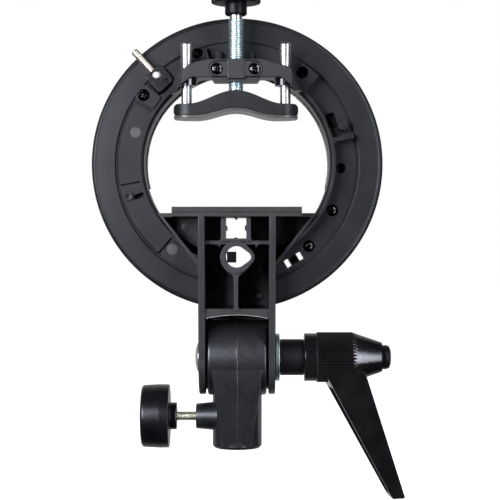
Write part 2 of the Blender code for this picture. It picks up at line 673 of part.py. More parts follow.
def lever_handle(axis):
    pivot = (0, 0, PIVOT_Z)
    hub = ((CHAMBER_R, HUB_END), (CONE_END_R, HUB_END), (HUB_R, CONE_START), (HUB_R, BARREL_START),
           (13.1, BARREL_START - 0.6), (13.1, HUB_START), (SPLINE_BORE_R, HUB_START),
           (SPLINE_BORE_R, INSERT_END + GAP), (3.4, INSERT_END + GAP), (3.4, 63.0), (CHAMBER_R, 63.0))
    handle = turned("hub", hub, pivot, ALONG_X, 40, hollow=True)
    blade = [(47.4, PIVOT_Z - 7.1), (69.6, PIVOT_Z - 7.1), (92.4, PIVOT_Z - 76.6), (85.4, PIVOT_Z - 77.0)]
    add(handle, narrowed(plate("blade", blade, -BLADE_HALF, BLADE_HALF)))
    channel = [(44.0, PIVOT_Z - 16.5), (64.0, PIVOT_Z - 16.5), (88.3, PIVOT_Z - 74.0), (68.0, PIVOT_Z - 74.0)]
    cut(handle, narrowed(plate("channel", channel, 2.6 - BLADE_HALF, BLADE_HALF - 2.6)))
    cut(handle, rod("hub_bore", pivot, ALONG_X, HUB_START - 1, INSERT_END + GAP, SPLINE_BORE_R, 32))
    return publish(handle, "lever_handle", gloss_plastic("handle_nylon"), axis)


# ---------------------------------------------------------------- clamp

def jaw_outline():
    """The arched beam: square ends under the rods, a crown over the flash head."""
    left, right = CLAMP_X - JAW_HALF, CLAMP_X + JAW_HALF
    top = [(right, JAW_SHOULDER), (CLAMP_X + 23.0, JAW_SHOULDER + 0.6), (CLAMP_X + 14.0, 154.2),
           (CLAMP_X + 6.0, JAW_TOP), (CLAMP_X - 6.0, JAW_TOP), (CLAMP_X - 14.0, 154.2),
           (CLAMP_X - 23.0, JAW_SHOULDER + 0.6), (left, JAW_SHOULDER)]
    return top + jaw_face(0)


def jaw_face(drop):
    """The underside of the beam, from its left end to its right, lowered by drop."""
    left, right = CLAMP_X - JAW_HALF, CLAMP_X + JAW_HALF
    heights = ((left, JAW_END_BOTTOM), (CLAMP_X - 21.0, JAW_END_BOTTOM), (CLAMP_X - 10.0, 146.8),
               (CLAMP_X, JAW_MID_BOTTOM), (CLAMP_X + 10.0, 146.8), (CLAMP_X + 21.0, JAW_END_BOTTOM),
               (right, JAW_END_BOTTOM))
    return [(x, z - drop) for x, z in heights]


def clamp_jaw(axis):
    rear, front = CLAMP_Y - JAW_DEPTH, CLAMP_Y + JAW_DEPTH
    beam = plate("beam", jaw_outline(), rear, front)
    centre = (CLAMP_X, CLAMP_Y, 0)
    cut(beam, rod("spindle_seat", centre, ALONG_Z, 150.0, 162, SPINDLE_R + GAP, 24))
    cut(beam, rod("retainer_room", centre, ALONG_Z, 140, 150.6, 6.2, 24))
    for side in (-1, 1):
        place = (CLAMP_X + side * ROD_SPACING, CLAMP_Y, 0)
        cut(beam, rod("rod_seat", place, ALONG_Z, 147.2, 162, ROD_R + GAP, 24))
        cut(beam, rod("rod_screw_hole", place, ALONG_Z, 140, 150, 1.5 + GAP, 16))
        cut(beam, rod("rod_screw_well", place, ALONG_Z, 140, 145.9, 3.2, 20))
    publish(beam, "jaw_beam", black_plastic("jaw_nylon"), axis)
    pad = plate("pad", jaw_face(GAP) + jaw_face(1.7)[::-1], rear + 0.5, front - 0.5)
    publish(pad, "jaw_pad", black_rubber("jaw_rubber"), axis)
    for side, word in SIDES:
        place = (CLAMP_X + side * ROD_SPACING, CLAMP_Y, 0)
        profile = ((0, ROD_TOP), (ROD_R - 0.8, ROD_TOP), (ROD_R, ROD_TOP - 0.8), (ROD_R, 147.5),
                   (1.5 + GAP, 147.5), (1.5 + GAP, 155.5), (0, 155.5))
        publish(turned("guide", profile, place, ALONG_Z, 24), f"guide_rod_{word}", chrome("rod_chrome"), axis)
        thread = ((0, 155.0), (1.5, 155.0), (1.5, 145.6), (2.8, 145.6), (2.8, 144.2), (0, 144.2))
        screw = turned("guide_screw", thread, place, ALONG_Z, 16)
        publish(screw, f"rod_screw_{word}", zinc_steel("rod_screw_zinc"), axis)
    clip = tube("clip", centre, ALONG_Z, 148.2, 149.3, 5.4, 2.6 + GAP, 24)
    publish(clip, "spindle_retainer", spring_steel("retainer_steel"), axis)


def spindle(axis):
    centre = (CLAMP_X, CLAMP_Y, 0)
    screw = ((0, 207.0), (3.4, 207.0), (3.4, 194.7), (SPINDLE_R, 194.1), (SPINDLE_R, 149.6), (2.6, 149.6),
             (2.6, 147.9), (0, 147.9))
    publish(turned("spindle", screw, centre, ALONG_Z, 28), "spindle_screw", zinc_steel("spindle_zinc"), axis)
    bore = 3.4 + GAP
    knob = ((bore, KNOB_TOP - 1.6), (9.4, KNOB_TOP - 1.6), (9.4, KNOB_TOP), (11.8, KNOB_TOP),
            (KNOB_R, KNOB_TOP - 1.6), (KNOB_R, KNOB_RIM_BOTTOM + 0.8), (KNOB_R - 0.8, KNOB_RIM_BOTTOM),
            (KNOB_HUB_R, KNOB_RIM_BOTTOM), (KNOB_HUB_R, KNOB_BOTTOM + 0.8), (KNOB_HUB_R - 0.8, KNOB_BOTTOM),
            (bore, KNOB_BOTTOM))
    grip = turned("grip", knob, centre, ALONG_Z, 40, hollow=True)
    publish(grip, "spindle_knob", black_plastic("knob_nylon"), axis)
    cap = rod("knob_top", centre, ALONG_Z, KNOB_TOP - 1.3, KNOB_TOP - 0.2, 9.1, 32)
    publish(cap, "spindle_knob_cap", gloss_plastic("knob_cap_plastic"), axis)


# ---------------------------------------------------------------- modifier lock

def modifier_lock(release_axis, head_axis):
    along_pin = ((LOCK_R, 0, 0), ALONG_Y)
    block = turn_to_lock(box("block", (BLOCK_IN, -17.0, -BLOCK_HALF), (BLOCK_OUT, -8.0, BLOCK_HALF)))
    soften(block, 1.0)
    cut(block, turn_to_lock(rod("block_pin_hole", *along_pin, -20, 0, PIN_R + GAP, 20)))
    cut(block, turn_to_lock(rod("block_rod_hole", (0, -12.5, 0), ALONG_X, 66.6, 90, 1.7 + GAP, 16)))
    publish(block, "release_block", black_plastic("block_nylon"), release_axis)
    pin = ((0, 16.5), (1.6, 16.5), (PIN_R, 15.6), (PIN_R, -16.0), (1.6, -16.0), (1.6, -17.2), (2.0, -17.2),
           (2.0, -17.6), (0, -17.6))
    pin_solid = turn_to_lock(turned("pin", pin, *along_pin, 20))
    publish(pin_solid, "lock_pin", spring_steel("pin_steel"), release_axis)
    pull = ((0, 82.5), (2.0, 82.2), (2.0, 79.6), (1.7, 79.4), (1.7, 66.9), (0, 66.9))
    pull_rod = turn_to_lock(turned("pull", pull, (0, -12.5, 0), ALONG_X, 20))
    publish(pull_rod, "release_rod", chrome("pull_chrome"), release_axis)
    collar = turn_to_lock(tube("collar", *along_pin, 7.6, 8.8, 3.9, PIN_R + GAP, 20))
    publish(collar, "pin_collar", spring_steel("collar_steel"), release_axis)
    spring = turn_to_lock(coil("pin_spring", *along_pin, -3.6, 2.2, 3.4, 0.4, 3))
    publish(spring, "lock_spring", spring_steel("lock_spring_steel"), head_axis)


def build():
    tilt = axis_empty("tilt_axis", (0, 0, PIVOT_Z))
    clamp = axis_empty("clamp_axis", (CLAMP_X, CLAMP_Y, JAW_TOP), tilt)
    lever = axis_empty("lever_axis", (HUB_START, 0, PIVOT_Z), tilt)
    x, z = on_ring(LOCK_ANGLE, LOCK_R)
    release = axis_empty("release_axis", (x, 0, z), tilt)
    thumb = axis_empty("thumbscrew_axis", (0, 0, TIP_Z))
    stand_socket()
    socket_thread_insert()
    thumbscrew(thumb)
    ring_frame(tilt)
    bayonet_ring(tilt)
    bayonet_screws(tilt)
    rest_pad(tilt)
    clamp_nut_and_cover(tilt)
    guide_bushes(tilt)
    umbrella_clip(tilt)
    swivel(tilt)
    spacer_sleeve(lever)
    lever_nut(lever)
    lever_handle(lever)
    clamp_jaw(clamp)
    spindle(clamp)
    modifier_lock(release, tilt)


clear_scene()
BRACKET = new_collection("speedlight_bracket")
CONSTRUCTION = new_collection("construction")
build()
for solid in BRACKET.objects:
    if solid.type == "MESH":
        solid.data.set_sharp_from_angle(angle=math.radians(35))
        solid.data.polygons.foreach_set("use_smooth", [True] * len(solid.data.polygons))
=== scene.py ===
"""Looks for the speedlight bracket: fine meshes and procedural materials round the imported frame.

Shapes are written in millimetres in the frame's own axes: +X to the user's right, +Y to the light
modifier, +Z up. A piece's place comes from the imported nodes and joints.
"""

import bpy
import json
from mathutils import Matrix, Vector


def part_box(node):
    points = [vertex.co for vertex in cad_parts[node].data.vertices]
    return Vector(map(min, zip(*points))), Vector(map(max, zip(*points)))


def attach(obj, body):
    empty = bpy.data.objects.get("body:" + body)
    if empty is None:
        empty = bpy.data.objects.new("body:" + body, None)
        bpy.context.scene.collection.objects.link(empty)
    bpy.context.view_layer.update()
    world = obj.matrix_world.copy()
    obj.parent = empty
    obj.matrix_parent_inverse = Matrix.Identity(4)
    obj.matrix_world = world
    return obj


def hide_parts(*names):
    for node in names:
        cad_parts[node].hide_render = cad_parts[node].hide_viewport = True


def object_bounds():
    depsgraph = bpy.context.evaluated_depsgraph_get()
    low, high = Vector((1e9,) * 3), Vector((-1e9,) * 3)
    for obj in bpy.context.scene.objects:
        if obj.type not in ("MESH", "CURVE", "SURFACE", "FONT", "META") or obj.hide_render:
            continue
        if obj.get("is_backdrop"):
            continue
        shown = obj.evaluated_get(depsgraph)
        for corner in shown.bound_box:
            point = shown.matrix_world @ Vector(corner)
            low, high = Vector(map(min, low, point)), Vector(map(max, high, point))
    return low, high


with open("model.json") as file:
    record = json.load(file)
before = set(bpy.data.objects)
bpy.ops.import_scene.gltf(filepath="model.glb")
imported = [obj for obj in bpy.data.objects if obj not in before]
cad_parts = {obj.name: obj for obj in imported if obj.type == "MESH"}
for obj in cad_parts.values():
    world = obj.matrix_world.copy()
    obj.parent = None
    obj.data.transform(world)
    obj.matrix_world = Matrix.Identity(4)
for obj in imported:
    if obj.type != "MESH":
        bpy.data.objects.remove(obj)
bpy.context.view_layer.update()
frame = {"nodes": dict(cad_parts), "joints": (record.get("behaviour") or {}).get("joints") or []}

import json
from math import cos, degrees, hypot, pi, radians, sin, tan, tau

import bmesh
import bpy
from mathutils import Euler, Matrix, Vector

MM = 0.001
GAP = 0.3


def box_of(node):
    """A node's lowest and highest corners, in millimetres."""
    low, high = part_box(node)
    return low / MM, high / MM


def middle_of(node):
    low, high = box_of(node)
    return (low + high) / 2


def joint_named(name):
    return next(joint for joint in frame["joints"] if joint["name"] == name)


# ---- places taken from the frame
PIVOT_Z = joint_named("head_tilt")["pos_m"][2] / MM
TIP_Z = joint_named("thumbscrew_turn")["pos_m"][2] / MM
RING_LOW, RING_HIGH = box_of("bayonet_ring")
RING_Z = (RING_LOW.z + RING_HIGH.z) / 2
FRAME_LOW, FRAME_HIGH = box_of("ring_frame")
RIM_R = FRAME_HIGH.z - RING_Z
CLAMP = middle_of("spindle_screw")
ROD_LEFT, ROD_RIGHT = middle_of("guide_rod_left"), middle_of("guide_rod_right")

ALONG_X = (0.0, pi / 2, 0.0)
ALONG_Y = (-pi / 2, 0.0, 0.0)
TO_REAR = (pi / 2, 0.0, 0.0)
ALONG_Z = (0.0, 0.0, 0.0)
TO_LEFT = (0.0, -pi / 2, 0.0)
PIVOT, TIP = (0, 0, PIVOT_Z), (0, 0, TIP_Z)
MATT, SHINY = "matt_black_plastic", "gloss_black_plastic"


# ---- materials
class Nodes:
    """A small helper that adds and joins shader nodes for a material or the world."""

    def __init__(self, owner):
        owner.use_nodes = True
        self.material = owner
        self.tree = owner.node_tree
        self.shader = self.tree.nodes.get("Principled BSDF") or self.tree.nodes["Background"]
        self.place = self.add("ShaderNodeTexCoord").outputs["Object"]

    def add(self, kind, **settings):
        node = self.tree.nodes.new(kind)
        for key, value in settings.items():
            setattr(node, key, value)
        return node

    def link(self, source, target):
        self.tree.links.new(source, target)

    def combine(self, operation, first, second):
        node = self.add("ShaderNodeMath", operation=operation)
        self.link(first, node.inputs[0])
        self.link(second, node.inputs[1])
        return node.outputs["Value"]

    def seen_directly(self):
        """1 where the camera looks straight at a surface, 0 for light that bounces."""
        return self.add("ShaderNodeLightPath").outputs["Is Camera Ray"]

    def noise(self, size_mm, detail=2.0, roughness=0.5):
        node = self.add("ShaderNodeTexNoise")
        node.inputs["Scale"].default_value = 1.0 / (size_mm * MM)
        node.inputs["Detail"].default_value = detail
        node.inputs["Roughness"].default_value = roughness
        self.link(self.place, node.inputs["Vector"])
        return node.outputs["Fac"]

    def span(self, value, low, high, to_low, to_high):
        node = self.add("ShaderNodeMapRange")
        for key, number in zip(("From Min", "From Max", "To Min", "To Max"), (low, high, to_low, to_high)):
            node.inputs[key].default_value = number
        self.link(value, node.inputs["Value"])
        return node.outputs["Result"]

    def blend(self, factor, first, second):
        """A mix of two colours, of which the first may be the result of an earlier mix."""
        node = self.add("ShaderNodeMix", data_type="RGBA")
        self.link(factor, node.inputs["Factor"])
        if isinstance(first, tuple):
            node.inputs["A"].default_value = (*first, 1.0)
        else:
            self.link(first, node.inputs["A"])
        node.inputs["B"].default_value = (*second, 1.0)
        return node.outputs["Result"]

    def edges(self, radius_mm):
        """The rounded normal, and how far it leans from the true one: 0 on flats, up to 1 on edges."""
        rounded = self.add("ShaderNodeBevel", samples=4)
        rounded.inputs["Radius"].default_value = radius_mm * MM
        geometry = self.add("ShaderNodeNewGeometry")
        lean = self.add("ShaderNodeVectorMath", operation="DOT_PRODUCT")
        self.link(rounded.outputs["Normal"], lean.inputs[0])
        self.link(geometry.outputs["True Normal"], lean.inputs[1])
        return rounded.outputs["Normal"], self.span(lean.outputs["Value"], 0.98, 0.80, 0.0, 1.0)

    def finish(self, colour, rough, bumps, depth_mm, normal):
        """Joins the colour, a (size, detail, low, high) roughness noise and the bumps to the shader."""
        self.link(colour, self.shader.inputs["Base Color"])
        size_mm, detail, low, high = rough
        uneven = self.span(self.noise(size_mm, detail), 0.3, 0.7, low, high)
        self.link(uneven, self.shader.inputs["Roughness"])
        node = self.add("ShaderNodeBump")
        node.inputs["Strength"].default_value = 1.0
        node.inputs["Distance"].default_value = depth_mm * MM
        self.link(bumps, node.inputs["Height"])
        self.link(normal, node.inputs["Normal"])
        self.link(node.outputs["Normal"], self.shader.inputs["Normal"])
        return self.material


def moulded(name, dark, light, rough, grain_mm=0.35, depth_mm=0.010, edge_mm=0.35, sheen=0.5):
    """Moulded plastic: a fine spark-eroded grain, slow tone changes, and edges painted lighter, partly as
    rubbed wear and partly as painted highlight.
    """
    made = Nodes(bpy.data.materials.new(name))
    normal, edge = made.edges(edge_mm)
    tone = made.span(made.noise(14.0, 3.0), 0.35, 0.65, 0.0, 1.0)
    body = made.blend(tone, dark, tuple(0.85 * a + 0.15 * b for a, b in zip(dark, light)))
    patch = made.span(made.noise(3.0, 4.0), 0.40, 0.70, 0.25, 1.0)
    # Edges are lightened toward the light colour: partly rubbed wear, partly a painted highlight of the
    # edge.
    edge_wear_and_painted_highlight = made.blend(made.combine("MULTIPLY", edge, patch), body, light)
    made.shader.inputs["Specular IOR Level"].default_value = sheen
    made.shader.inputs["Specular Tint"].default_value = (0.84, 0.88, 1.0, 1.0)
    return made.finish(edge_wear_and_painted_highlight, (2.2, 4.0, rough - 0.03, rough + 0.03),
                       made.noise(grain_mm, 3.0, 0.6), depth_mm, normal)


def metal(name, first, second, rough, patch_mm=1.6, depth_mm=0.003, stretch=None, edge_mm=0.15):
    """Bare or plated metal: tone patches, fine machining marks and softened edges."""
    made = Nodes(bpy.data.materials.new(name))
    if stretch is not None:
        mapping = made.add("ShaderNodeMapping")
        mapping.inputs["Scale"].default_value = stretch
        made.link(made.place, mapping.inputs["Vector"])
        made.place = mapping.outputs["Vector"]
    tone = made.span(made.noise(patch_mm, 4.0), 0.35, 0.65, 0.0, 1.0)
    made.shader.inputs["Metallic"].default_value = 1.0
    return made.finish(made.blend(tone, first, second), (0.5, 3.0, rough * 0.95, rough * 1.06),
                       made.noise(0.22, 2.0), depth_mm, made.edges(edge_mm)[0])


def rubber(name, dark, light, rough):
    """Rubber: a matt dusty skin with a fine pebble."""
    made = Nodes(bpy.data.materials.new(name))
    dust = made.span(made.noise(5.0, 5.0), 0.35, 0.7, 0.0, 1.0)
    made.shader.inputs["Sheen Weight"].default_value = 0.05
    return made.finish(made.blend(dust, dark, light), (0.8, 2.0, rough - 0.06, rough + 0.06),
                       made.noise(0.28, 2.0), 0.02, made.edges(0.3)[0])


NYLON = moulded("frame_nylon", (0.008, 0.0085, 0.0100), (0.042, 0.044, 0.049), 0.43, sheen=0.33)
# The arm's and bridge's copy of the same black nylon, painted lighter to make up for the light they get.
PAINTED_LIGHTER_NYLON = moulded("nylon_painted_lighter", (0.019, 0.0195, 0.0215), (0.060, 0.062, 0.068), 0.42)
SMOOTH_NYLON = moulded("smooth_nylon", (0.009, 0.009, 0.011), (0.030, 0.031, 0.034), 0.26, 0.5, 0.004)
# The ejector discs' lighter grey is a painted sheen: it stands in for light off their smoother faces.
DISC_NYLON_PAINTED_SHEEN = moulded("ejector_disc", (0.055, 0.056, 0.060), (0.09, 0.09, 0.095), 0.36, 0.6, 0.004)
HANDLE = moulded("handle_nylon", (0.004, 0.004, 0.005), (0.03, 0.03, 0.033), 0.15, 0.45, 0.002, 0.3)
GLOSS = moulded("gloss_nylon", (0.005, 0.005, 0.006), (0.02, 0.02, 0.022), 0.15, 0.8, 0.002, 0.25)
SLEEVE_NYLON = moulded("sleeve_nylon", (0.004, 0.004, 0.006), (0.02, 0.02, 0.024), 0.47, sheen=0.22)
TOP_KNOB = moulded("deep_black_nylon", (0.004, 0.004, 0.005), (0.02, 0.02, 0.022), 0.34, 0.5, 0.003,
                   sheen=0.14)
KNOB_NYLON = moulded("knob_nylon", (0.002, 0.002, 0.003), (0.02, 0.021, 0.024), 0.30, 0.5, 0.002)
# A light grey strip under the bar's arch: a painted highlight of its lower edge.
PAINTED_HIGHLIGHT_LINE = moulded("painted_highlight_edge", (0.24, 0.24, 0.25), (0.40, 0.40, 0.41), 0.4)
CASTING = moulded("painted_casting", (0.006, 0.0065, 0.008), (0.040, 0.042, 0.047), 0.34, 0.6, 0.0012,
                  0.3, 1.0)
RUBBER = rubber("black_rubber", (0.008, 0.008, 0.009), (0.020, 0.020, 0.022), 0.5)
PAD_RUBBER = rubber("jaw_pad_rubber", (0.05, 0.05, 0.052), (0.085, 0.085, 0.09), 0.34)
ZINC = metal("blue_zinc", (0.50, 0.64, 0.70), (0.62, 0.76, 0.80), 0.42, 4.0, 0.0001, None, 0.0)
CHROME = metal("satin_chrome", (0.46, 0.47, 0.49), (0.55, 0.56, 0.58), 0.33, 4.0, 0.0002, (1.0, 1.0, 0.1))
STEEL = metal("plain_steel", (0.60, 0.59, 0.56), (0.74, 0.73, 0.70), 0.26, 1.8)
PLATE_STEEL = metal("plate_steel", (0.62, 0.62, 0.64), (0.76, 0.76, 0.78), 0.30, 3.5, 0.004)
WARM_STEEL = metal("warm_plated_steel", (0.80, 0.76, 0.64), (0.88, 0.86, 0.78), 0.42, 1.6, 0.001)
WARM_CHROME = metal("warm_chrome", (0.52, 0.48, 0.44), (0.64, 0.60, 0.56), 0.45, 2.5, 0.001)
PIN_STEEL = metal("turned_pin_steel", (0.42, 0.42, 0.43), (0.62, 0.62, 0.63), 0.50, 0.9, 0.004)
BLACK_STEEL = metal("black_oxide", (0.02, 0.02, 0.022), (0.07, 0.07, 0.074), 0.20, 1.2)
BRASS = metal("machined_brass", (0.68, 0.50, 0.22), (0.80, 0.64, 0.34), 0.26, 1.5)


# ---- shapes
def arc(centre, radius, start_deg, end_deg, steps):
    points = []
    for step in range(steps + 1):
        angle = radians(start_deg + (end_deg - start_deg) * step / steps)
        points.append((centre[0] + radius * cos(angle), centre[1] + radius * sin(angle)))
    return points


def filleted(points, closed=True, steps=4):
    """A profile whose corners carry their own radius as a third number, with each corner rounded."""
    out = []
    count = len(points)
    for index, point in enumerate(points):
        radius = point[2] if len(point) > 2 else 0.0
        here = Vector(point[:2])
        if radius <= 0.0 or (not closed and index in (0, count - 1)):
            out.append((here.x, here.y))
            continue
        before = Vector(points[index - 1][:2]) - here
        after = Vector(points[(index + 1) % count][:2]) - here
        half = before.angle(after) / 2
        reach = min(radius / tan(half), 0.48 * before.length, 0.48 * after.length)
        true_radius = reach * tan(half)
        inward = (before.normalized() + after.normalized()).normalized()
        centre = here + inward * (true_radius / sin(half))
        first = here + before.normalized() * reach - centre
        last = here + after.normalized() * reach - centre
        turn = first.angle_signed(last)
        for step in range(steps + 1):
            spoke = first.copy()
            spoke.rotate(Matrix.Rotation(-turn * step / steps, 2))
            out.append((centre.x + spoke.x, centre.y + spoke.y))
    return out


def to_object(name, shape, place=(0, 0, 0), turn=ALONG_Z):
    """A bmesh in millimetres as an object in metres, with its place baked into the mesh."""
    bmesh.ops.recalc_face_normals(shape, faces=shape.faces)
    matrix = Matrix.Translation(Vector(place)) @ Euler(turn).to_matrix().to_4x4()
    bmesh.ops.transform(shape, matrix=Matrix.Scale(MM, 4) @ matrix, verts=shape.verts)
    return linked(name, shape)


def linked(name, shape):
    mesh = bpy.data.meshes.new(name)
    shape.to_mesh(mesh)
    shape.free()
    return placed(name, mesh)


def placed(name, data):
    """A new object in the scene."""
    obj = bpy.data.objects.new(name, data)
    bpy.context.scene.collection.objects.link(obj)
    return obj


def lathe(name, profile, centre, turn, segments=96, steps=4, closed=False, wave=None):
    """A filleted (radius, height) profile turned about the axis; wave gives a radius its ribs."""
    shape = bmesh.new()
    rings = []
    for radius, height in filleted(profile, closed, steps):
        ring = []
        if radius < 1e-6:
            ring = [shape.verts.new((0, 0, height))] * segments
        else:
            for step in range(segments):
                angle = 2 * pi * step / segments
                reach = radius if wave is None else wave(angle, radius, height)
                ring.append(shape.verts.new((reach * cos(angle), reach * sin(angle), height)))
        rings.append(ring)
    bridge_rings(shape, rings + rings[:1] if closed else rings)
    return to_object(name, shape, centre, turn)


def bridge_rings(shape, rings):
    """Faces between each ring of corners and the next; a corner met twice is used once."""
    for first, second in zip(rings, rings[1:]):
        for step in range(len(first)):
            nxt = (step + 1) % len(first)
            corners = list(dict.fromkeys((first[step], first[nxt], second[nxt], second[step])))
            if len(corners) > 2:
                shape.faces.new(corners)


def prism(name, outline, start, end, facing="Y", steps=4):
    """A flat filleted outline of (across, up) points, standing from start to end along Y, X or Z."""
    shape = bmesh.new()
    slot = "XYZ".index(facing)
    along = Vector((0, 0, 0))
    along[slot] = end - start
    corners = []
    for across, up in filleted(outline, steps=steps):
        corner = [across, up]
        corner.insert(slot, start)
        corners.append(shape.verts.new(corner))
    base = shape.faces.new(corners)
    grown = bmesh.ops.extrude_face_region(shape, geom=[base])
    moved = [item for item in grown["geom"] if isinstance(item, bmesh.types.BMVert)]
    bmesh.ops.translate(shape, vec=along, verts=moved)
    return to_object(name, shape)


def rectangle(left, right, first, second, corner=0.0):
    """The outline of a rectangle with rounded corners."""
    return [(left, first, corner), (right, first, corner), (right, second, corner), (left, second, corner)]


def block(name, low, high):
    shape = bmesh.new()
    bmesh.ops.create_cube(shape, size=1.0)
    bmesh.ops.scale(shape, vec=Vector(high) - Vector(low), verts=shape.verts)
    return to_object(name, shape, (Vector(low) + Vector(high)) / 2)


def drum(name, centre, turn, start, end, radius, segments=48, soft=0.0):
    profile = [(0, end), (radius, end, soft), (radius, start, soft), (0, start)]
    return lathe(name, profile, centre, turn, segments, 3)


def upright(name, at, start, end, radius, segments=48, soft=0.0):
    """A drum along Z about the axis of one of the clamp's parts."""
    return drum(name, (at.x, at.y, 0), ALONG_Z, start, end, radius, segments, soft)


def soften(obj, width, segments=3, angle=30):
    """Rounds an object's edges for good."""
    bevel = obj.modifiers.new("edges", "BEVEL")
    bevel.width = width * MM
    bevel.segments = segments
    bevel.limit_method = "ANGLE"
    bevel.angle_limit = radians(angle)
    return applied(obj)


def applied(obj):
    bpy.context.view_layer.update()
    graph = bpy.context.evaluated_depsgraph_get()
    mesh = bpy.data.meshes.new_from_object(obj.evaluated_get(graph))
    obj.modifiers.clear()
    obj.data = mesh
    return obj


def boolean(target, tool, operation):
    change = target.modifiers.new("change", "BOOLEAN")
    change.object = tool
    change.operation = operation
    change.solver = "EXACT"
    applied(target)
    bpy.data.objects.remove(tool, do_unlink=True)
    return target


def cut(target, tool):
    return boolean(target, tool, "DIFFERENCE")


def fuse(target, tool):
    return boolean(target, tool, "UNION")


def joined(name, objects):
    """Separate closed bodies as one object."""
    shape = bmesh.new()
    for obj in objects:
        shape.from_mesh(obj.data)
        bpy.data.objects.remove(obj, do_unlink=True)
    return linked(name, shape)


def piece(obj, name, body, material, nodes=(), sharp=32):
    """Names a finished piece, gives it its material, and lets it ride on its body."""
    obj.name = name
    obj.data.name = name
    obj.data.materials.clear()
    obj.data.materials.append(material)
    obj.data.polygons.foreach_set("use_smooth", [True] * len(obj.data.polygons))
    obj.data.set_sharp_from_angle(angle=radians(sharp))
    weighted = obj.modifiers.new("flat_faces_stay_flat", "WEIGHTED_NORMAL")
    weighted.keep_sharp = True
    weighted.weight = 100
    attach(obj, body)
    if nodes:
        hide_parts(*nodes)
    return obj


def stand_in(obj, node, body, material):
    """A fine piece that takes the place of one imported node."""
    return piece(obj, f"{node}_fine", body, material, [node])


def dress(material, *nodes):
    """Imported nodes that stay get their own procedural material."""
    for node in nodes:
        obj = frame["nodes"][node]
        for place in obj.material_slots:
            place.material = material
        if not obj.material_slots:
            obj.data.materials.append(material)


def on_ring(angle_deg, radius):
    angle = radians(angle_deg)
    return radius * cos(angle), RING_Z + radius * sin(angle)


def sector(inner, outer, low_deg, high_deg, steps):
    """The outline of part of a ring between two radii and two angles."""
    centre = (0, RING_Z)
    return arc(centre, outer, low_deg, high_deg, steps) + arc(centre, inner, high_deg, low_deg, steps)


def screw_thread(name, centre, turn, start, end, radius, pitch, depth, facets=28):
    """A thread along the turned Z axis, its crest and root following one true helix."""
    shape = bmesh.new()
    profile = ((0.0, depth), (0.12, depth), (0.5, 0.0), (0.62, 0.0))
    total = int((end - start) / pitch + 2) * facets
    columns = []
    for step in range(total + facets):
        angle = tau * step / facets
        column = []
        for part, inset in profile:
            z = min(end, max(start, start + pitch * (step / facets - 1 + part)))
            reach = radius - inset
            column.append(shape.verts.new((reach * cos(angle), reach * sin(angle), z)))
        columns.append(column)
    for step in range(total - 1):
        here = columns[step] + columns[step + facets][:1]
        there = columns[step + 1] + columns[step + 1 + facets][:1]
        for part in range(len(profile)):
            shape.faces.new((here[part], there[part], there[part + 1], here[part + 1]))
    bmesh.ops.remove_doubles(shape, verts=shape.verts, dist=0.001)
    bmesh.ops.dissolve_degenerate(shape, edges=shape.edges, dist=0.001)
    loose = [vert for vert in shape.verts if not vert.link_faces]
    bmesh.ops.delete(shape, geom=loose, context="VERTS")
    return to_object(name, shape, centre, turn)


def cross_screw(name, node, x, seat, z, radius, rise):
    """A pan head with a cross recess, facing the rear, whose underside is at seat."""
    dome = [(0, -seat + rise), (radius * 0.55, -seat + rise - 0.12), (radius * 0.9, -seat + rise * 0.62),
            (radius, -seat + rise * 0.25, 0.1), (radius, -seat), (0, -seat)]
    head = lathe(name, dome, (x, 0, z), TO_REAR, 40, 2)
    top = seat - rise
    for half_x, half_z in ((radius * 0.575, 0.31), (0.31, radius * 0.575)):
        cut(head, block("slot", (x - half_x, top - 1, z - half_z), (x + half_x, top + 0.9, z + half_z)))
    piece(head, name, "head", BLACK_STEEL, [node])


# ---- ring
BORE_R, BOLT_BORE_R = 50.4, 4.3
PLATEAU_Y = -14.0
BEHIND, BEYOND = -40, 30        # ends of a cutter that goes right through
ABOVE_RING = -20                # where a cutter that sinks into the ring starts
SURFACE, SUNK = -10.0, -2.0     # depths of the screw wells
SCREWS = ((144.0, 62.3, SURFACE), (109.9, 63.6, SURFACE), (54.3, 60.4, SUNK), (-26.0, 57.9, SUNK),
          (-48.9, 59.6, SUNK), (233.2, 60.0, SUNK))
LOCK_ANGLE, WINDOW_ANGLE = 132.6, -59.3
SCREW_WELL_R = 3.3
LOCK = middle_of("lock_pin")
LOCK_R = hypot(LOCK.x, LOCK.z - RING_Z)


def round_ring(obj, angle_deg):
    """Turns an object about the ring's axis, so that its X points outward at an angle."""
    place = Matrix.Translation(Vector((0, 0, RING_Z)) * MM)
    obj.data.transform(place @ Matrix.Rotation(-radians(angle_deg), 4, "Y"))
    return obj


def at_lock(obj):
    return round_ring(obj, LOCK_ANGLE)


def ring_cutter(angle_deg, low, high):
    """A box cutter whose X is outward from the ring's axis and whose Z is along the ring."""
    return round_ring(block("cutter", low, high), angle_deg)


def panel(name, inner, outer, low_deg, high_deg, start, end, corner=2.2):
    """A panel between two radii and two angles, with rounded corners."""
    return prism(name, rounded_sector(inner, outer, low_deg, high_deg, corner), start, end)


def rounded_sector(inner, outer, low_deg, high_deg, corner):
    """The outline of part of a ring whose four corners are rounded."""
    points = []
    for radius, first, last in ((outer, low_deg, high_deg), (inner, high_deg, low_deg)):
        lean = degrees(corner / radius) * (1 if last > first else -1)
        bend = corner if radius == inner else -corner
        spokes = on_ring(first, radius + bend), on_ring(last, radius + bend)
        points += corner_arc(spokes[0], on_ring(first, radius), on_ring(first + lean, radius))
        points += arc((0, RING_Z), radius, first + lean, last - lean, 28)
        points += corner_arc(on_ring(last - lean, radius), on_ring(last, radius), spokes[1])
    return points


def corner_arc(start, corner, end, steps=5):
    """A smooth bend from start to end, pulled toward the corner."""
    out = []
    for step in range(1, steps):
        part = step / steps
        near, middle, far = (1 - part) ** 2, 2 * part * (1 - part), part ** 2
        out.append(tuple(near * a + middle * b + far * c for a, b, c in zip(start, corner, end)))
    return out


